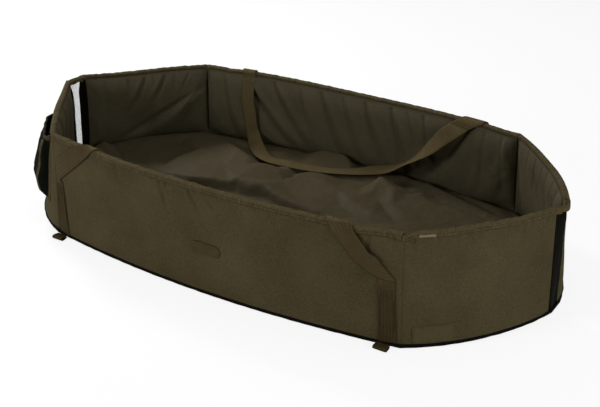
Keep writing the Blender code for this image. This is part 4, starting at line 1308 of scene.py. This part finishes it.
def handle_edges(side):
    """Edge paths of a handle: over the left rim, down to the floor, along it, and up over the right rim."""
    sign, top = SIDE_SIGN[side], AXIS[side][1]
    knots = []
    for share, slack, rise, tilt in HANDLE_ROUTES[side]:
        along = share * SEAM_SPACING / 2
        height = mix(HANDLE_LOW, top, rise)
        clear = lining_inset(f"{side}_wall", share_at(along), height) + 0.003
        place = on_panel(f"{side}_wall", share_at(along), height, clear + slack * HANDLE_SLACK)
        knots.append((along, place[1], height, tilt))
    knots = np.array(knots)
    ways = np.gradient(knots[:, :3], axis=0)
    ways /= np.linalg.norm(ways, axis=1, keepdims=True)
    up = knots[:, 3] * np.pi / 2
    faces = np.stack([0 * up, -sign * np.cos(up), np.sin(up)], -1)
    across = -sign * np.cross(ways, faces)
    across *= WEBBING_WIDTH / 2 / np.linalg.norm(across, axis=1, keepdims=True)
    middle = np.concatenate([knots[:, :3] - across, knots[:, :3] + across], axis=1)
    left, right = (np.concatenate(strap_edges(side, end, True), axis=1) for end in ("left", "right"))
    rows = curve(np.concatenate([left[-2:], middle, right[:-3:-1]]), 8)
    rows = np.concatenate([left[:-2], rows, right[-3::-1]])
    rows[:, 2::3] = np.minimum(rows[:, 2::3], top + 0.004)
    return rows[:, :3], rows[:, 3:]


def box_rows(near, far, low, high):
    """Corner places of a box of stitches with a cross in it, in the order they are sewn."""
    near_low, far_low, far_high, near_high = (near, low), (far, low), (far, high), (near, high)
    return np.array((near_low, far_low, far_high, near_high, near_low, far_high, near_high, far_low))


def sewn_on_strap(name, side, end, across, level, finish=pale_thread):
    """Stitches through a sewn strap: across is the share of its width, level the height of each place."""
    foot, fold = (np.array(row) for row in STRAP_ROWS[f"{side}_{end}"][:2])
    edges = [mix(foot[at], fold[at], (level - 0.0085) / (fold[at + 1] - foot[at + 1])) for at in (0, 3)]
    share = share_at(END_SIGN[end] * mix(*edges, across))
    inset = cover_inset(f"{side}_wall", share, level) - 0.0025
    path = on_panel(f"{side}_wall", share, level, inset)
    sewn(name, path, facing(path, on_panel(f"{side}_wall", share, level, inset - 0.001)), finish=finish)


BOX = box_rows(0.10, 0.90, 0.105, 0.126)
EDGE_ROW = np.linspace(0.037, 0.102, 50)
for side, sign in SIDE_SIGN.items():
    for end in END_SIGN:
        name = f"{side}_{end}"
        strap = band(f"{name}_strap_webbing", *strap_edges(side, end, False))
        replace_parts(strap, f"{name}_strap")
        steps = np.linspace(0, len(BOX) - 1, 240)
        across, level = (np.interp(steps, np.arange(len(BOX)), BOX[:, column]) for column in (0, 1))
        sewn_on_strap(f"{name}_box_stitches", side, end, across, level)
        for edge, across in (("near", 0.08), ("far", 0.92)):
            sewn_on_strap(f"{name}_{edge}_stitches", side, end, across, EDGE_ROW, thread)
    distance, top = AXIS[side]
    handle = band(f"{side}_handle_webbing", *handle_edges(side), body=None, finish=webbing)
    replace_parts(handle, f"{side}_handle")
    still, swung = (0, distance + sign * 0.003, top + 0.003), (0, distance - sign * 0.006, top - 0.006)
    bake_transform(handle)


# Peg loops: short doubled loops of narrower webbing, sewn into the foot seam under the anchor
# straps, that lie on the ground and take a ground peg.
LOOP_WIDTH = 0.029
LOOP_REACH = 0.0230
LOOP_RADIUS = 0.0034
STRAP_PLACE = 0.418
turn = np.linspace(np.pi / 2, -np.pi / 2, 15)
flat = np.linspace(0, LOOP_REACH - 2 * LOOP_RADIUS, 12)
reach = np.concatenate([flat, flat[-1] + LOOP_RADIUS * np.cos(turn), flat[:0:-1]])
rise = np.concatenate([0 * flat + LOOP_RADIUS, LOOP_RADIUS * np.sin(turn), 0 * flat[1:] - LOOP_RADIUS])
rise = rise * mix(0.45, 1.0, smooth(reach / 0.012))
for side, sign in SIDE_SIGN.items():
    for end in END_SIGN:
        body = f"{side}_{end}_peg_loop"
        low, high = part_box(body)
        foot = high.y if side == "front" else low.y
        edges = []
        for edge in (-1, 1):
            along = END_SIGN[end] * STRAP_PLACE + edge * LOOP_WIDTH / 2 + 0 * reach
            edges.append(np.stack([along, foot + sign * reach, (low.z + high.z) / 2 + rise], -1))
        loop = band(f"{body}_webbing", *edges, across=9, thickness=0.0016, body=body)
        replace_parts(loop, body)


# Net pocket: a black net front on a black cloth back, outside the front left end panel. Its sides
# and foot are sewn down under tape, and its taped mouth stands open.
POCKET_FOOT, POCKET_MOUTH = 0.062, 0.214
POCKET_SPAN = (0.17, 0.60)
POCKET_BULGE = 0.031
GUSSET = 0.13


def on_pocket(across, height, off):
    """Places off the pocket's panel: across from the corner seam's side to the net's side."""
    share = mix(*POCKET_SPAN, across)
    return on_panel("left_front_end", share, height, cover_inset("left_front_end", share, height) - off)


def pocket_belly(across, rise):
    """How far the pocket stands out, from 0 to 1.

    It has steep gussets at both sides, hangs slack lower down and is drawn in at its foot.
    """
    from_side = np.minimum(across, 1 - across)
    front = 1 - 0.18 * (2 * across - 1) ** 2 + 0.06 * np.sin(across * 27 - rise * 9)
    up = np.interp(rise, (0.0, 0.12, 0.35, 0.60, 0.78, 0.90, 1.0), (0.10, 0.62, 1.0, 0.86, 0.80, 0.60, 0.48))
    return np.sqrt(smooth(from_side / GUSSET)) * front * up


fine = np.linspace(0, 1, 400)
flat = fine * (POCKET_SPAN[1] - POCKET_SPAN[0]) * panel_length("left_front_end")
steps = np.hypot(np.diff(flat), np.diff(POCKET_BULGE * pocket_belly(fine, 0.4)))
run = np.concatenate([[0], np.cumsum(steps)])
across = np.interp(np.linspace(0, run[-1], 96), run, fine)[:, None]
up = np.linspace(POCKET_FOOT, POCKET_MOUTH - 0.001, 70)[None, :]
rise = (up - POCKET_FOOT) / (POCKET_MOUTH - POCKET_FOOT)
face, back = (on_pocket(across, up, off) for off in (0.0016, 0.0006))
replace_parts(shell("pocket_back_cloth", face, back, black, slot="black_cloth"), "pocket_back")
bag = on_pocket(across, up, 0.0024 + POCKET_BULGE * pocket_belly(across, rise))
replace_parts(netting("pocket_net_mesh", bag, 0.0023), "pocket_net")


def pocket_tape(name, across, height, off, wide):
    """A strip of tape along a path on the pocket, wide across the way it runs."""
    middle = on_pocket(across, height, off)
    way = np.gradient(middle, axis=0)
    out = facing(middle, on_pocket(across, height, off + 0.001))
    aside = np.cross(way, out)
    aside *= wide / 2 / np.linalg.norm(aside, axis=1, keepdims=True)
    share = np.linspace(0, 1, 7)[None, :, None]
    grid = mix((middle - aside)[:, None, :], (middle + aside)[:, None, :], share)
    piece = cloth_of(name, grid, TAPE + 0 * grid[..., 0], tape_cloth, slot="binding_tape")
    sewn(f"{name}_stitches", (middle + out * 0.0008)[2:-2], out[2:-2])
    return piece


step = np.linspace(0, 1, 60)
share = mix(0.01, 0.99, step)
stand = 0.0036 + POCKET_BULGE * pocket_belly(share, 0.97)
brim = pocket_tape("pocket_mouth_tape", share, POCKET_MOUTH - 0.005 + 0 * step, stand, 0.012)
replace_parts(brim, "pocket_binding")
for name, share in (("inner", GUSSET + 0 * step), ("outer", 1 - GUSSET + 0 * step)):
    stand = 0.0036 + POCKET_BULGE * pocket_belly(share, step * 0.94)
    level = mix(POCKET_FOOT, POCKET_MOUTH - 0.010, step)
    pocket_tape(f"pocket_{name}_gusset_tape", share, level, stand, 0.009)
for name, share in (("inner", 0 * step), ("outer", 1 + 0 * step)):
    level = mix(POCKET_FOOT - 0.006, POCKET_MOUTH, step)
    pocket_tape(f"pocket_{name}_side_tape", share, level, 0.0032, 0.014)
sag = POCKET_FOOT - 0.002 * np.sin(np.pi * step)
pocket_tape("pocket_foot_tape", step, sag, 0.0034, 0.014)


# Badge, care label and rim tag: a moulded rubber pill on the front wall, a sewn cloth label low on
# the front right end panel, and a small folded tag on the outside of the rim tape above it.
def rubbery(ground):
    cloud, grain = ground.noise(0.02), ground.noise(0.0008, 2.0)
    return cloud.between(dye(56, 50, 34), dye(68, 61, 43)), 0.75 + 0.15 * grain, grain * 0.0001


rubber = finish_of("olive_badge_rubber", rubbery, 0.05)
BADGE_MIDDLE = 0.0115
BADGE_LEVEL = 0.107
BADGE_LENGTH = 0.074
BADGE_HEIGHT = 0.026
BADGE_POINTS = 96
# How far each loop of the badge is drawn in from its outline, and how far it stands off the wall
BADGE_RINGS = (
    (0.0, 0.0002),
    (0.0, 0.0024),
    (0.0006, 0.0030),
    (0.0022, 0.0030),
    (0.0030, 0.0026),
    (0.0036, 0.0018),
    (0.0124, 0.0018),
)
# Each loop is two half circles joined by straight lines: a circle pulled apart by the sign of its cosine
turn = np.linspace(0, 2 * np.pi, BADGE_POINTS, endpoint=False)
drawn_in, off = np.array(BADGE_RINGS).T[..., None]
radius = BADGE_HEIGHT / 2 - drawn_in
x = (BADGE_LENGTH - BADGE_HEIGHT) / 2 * np.tanh(np.cos(turn) * 40) + radius * np.cos(turn)
share, level = share_at(BADGE_MIDDLE + x), BADGE_LEVEL + radius * np.sin(turn)
face = on_panel("front_wall", share, level, cover_inset("front_wall", share, level) - off)
index = indices(face.shape[:2])
index = np.concatenate([index, index[:, :1]], axis=1)
step = np.arange(BADGE_POINTS // 2 - 1)
corners = np.stack([step, step + 1, BADGE_POINTS - 2 - step, BADGE_POINTS - 1 - step], 1)
faces = np.concatenate([squares(index), index[-1][corners], index[0, ::-1][corners]])
make("bare_badge", face.reshape(-1, 3), faces, rubber, slot="webbing")


def label_colour(ground):
    threads, cloud = weave(ground, 0.0012), ground.noise(0.01)
    relief = threads * 0.00008 + cloud * 0.0002
    return cloud.between(dye(62, 56, 38), dye(76, 69, 49)), 0.8 + 0.1 * cloud, relief


label_cloth = finish_of("olive_label_cloth", label_colour, 0.05)


def on_right_end(along, level, off):
    """Places off the front right end panel by off, from the distance along it and the height."""
    share = along / panel_length("right_front_end")
    return on_panel("right_front_end", share, level, cover_inset("right_front_end", share, level) - off)


along, up = np.linspace(0.0245, 0.1130, 40)[:, None], np.linspace(0.0105, 0.0485, 20)[None, :]
face, back = (on_right_end(along, up, off) for off in (0.0010, 0.0002))
shell("care_label", face, back, label_cloth, slot="cover_cloth")
for name, along, level in (
    ("upper", np.linspace(0.0270, 0.1105, 50), 0.0465),
    ("lower", np.linspace(0.0270, 0.1105, 50), 0.0125),
    ("near", 0.0265, np.linspace(0.0125, 0.0465, 30)),
    ("far", 0.1110, np.linspace(0.0125, 0.0465, 30)),
):
    path, nudged = (on_right_end(along, level, off) for off in (0.0012, 0.0022))
    sewn(f"label_{name}_stitches", path, facing(path, nudged), pitch=0.003, finish=pale_thread)


def tag_colour(ground):
    cloud = ground.noise(0.006)
    threads = weave(ground, 0.0009)
    return cloud.between(dye(92, 80, 61), dye(120, 106, 83)), 0.7 + 0.1 * cloud, threads * 0.00008


tag_cloth = finish_of("beige_tag_cloth", tag_colour, 0.15)
along, drop = np.linspace(0.036, 0.071, 16)[:, None], np.linspace(0, 1, 12)[None, :]
level = WALL_HEIGHT - 0.0042 - 0.0052 * drop
off = 0.0036 + 0.0010 * np.sin(np.pi * drop) ** 0.5
face, back = (on_right_end(along, level, off + deep) for deep in (0.0010, 0.0))
shell("rim_tag", face, back, tag_cloth, slot="cover_cloth")


# Studio: a pale floor that keeps the mat's shadow, soft boxes at the left, in front, at the right
# and above, and the photograph's view.
def seen_directly(ground):
    """1 for rays from the camera and for those that metal or glass sends on, and 0 for all others."""
    rays = ground.add("LightPath").socket.node.outputs
    camera, glossy, through = (
        Tone(ground.tree, rays[f"Is {kind} Ray"]) for kind in ("Camera", "Glossy", "Transmission")
    )
    return ground.maths("MAXIMUM", ground.maths("MAXIMUM", camera, glossy), through)


studio_floor = plate("studio_floor", 9, -0.0005)
pale = bpy.data.materials.new("pale_floor")
pale.use_nodes = True
ground = Tone(pale.node_tree)
shader = pale.node_tree.nodes["Principled BSDF"]
shader.inputs["Base Color"].default_value = (0.9, 0.9, 0.9, 1)
shader.inputs["Roughness"].default_value = 0.9
glow = ground.add("Emission", None, {"Color": (1, 1, 1, 1), "Strength": 1.0})
layers = {0: seen_directly(ground) * 0.85, 1: Tone(pale.node_tree, shader.outputs[0]), 2: glow}
blended = ground.add("MixShader", None, layers)
pale.node_tree.links.new(blended.socket, pale.node_tree.nodes["Material Output"].inputs["Surface"])
studio_floor.data.materials.append(pale)

world = bpy.context.scene.world or bpy.data.worlds.new("studio")
bpy.context.scene.world = world
world.use_nodes = True
shown = seen_directly(Tone(world.node_tree))
backdrop = world.node_tree.nodes["Background"]
backdrop.inputs["Color"].default_value = (1, 1, 1, 1)
world.node_tree.links.new((0.20 + 0.80 * shown).socket, backdrop.inputs["Strength"])


def aimed(name, data, place):
    """An object at a place, turned to face the mat's middle."""
    made = bpy.data.objects.new(name, data)
    made.location = place
    made.rotation_euler = (-made.location).to_track_quat("-Z", "Y").to_euler()
    bpy.context.scene.collection.objects.link(made)
    return made


for name, place, size, power in (
    ("high_left_softbox", (-2.0, 0.7, 1.7), 0.5, 47),
    ("front_softbox", (-1.5, -2.5, 1.2), 0.9, 44),
    ("right_softbox", (2.3, -0.6, 0.7), 0.9, 24),
    ("top_softbox", (0.3, 0.3, 3.0), 1.6, 21),
):
    lamp = bpy.data.lights.new(name, "AREA")
    lamp.size, lamp.energy = size, power
    aimed(name, lamp, place)

camera_data = bpy.data.cameras.new("camera")
camera_data.sensor_width, camera_data.lens = 36, 65.05
camera_data.shift_x, camera_data.shift_y = 0.0196, 0.0428
camera = aimed("camera", camera_data, (1.2057, -1.8898, 1.1852))
bpy.context.scene.camera = camera
bpy.context.scene.view_settings.view_transform = "Standard"

bpy.context.view_layer.update()
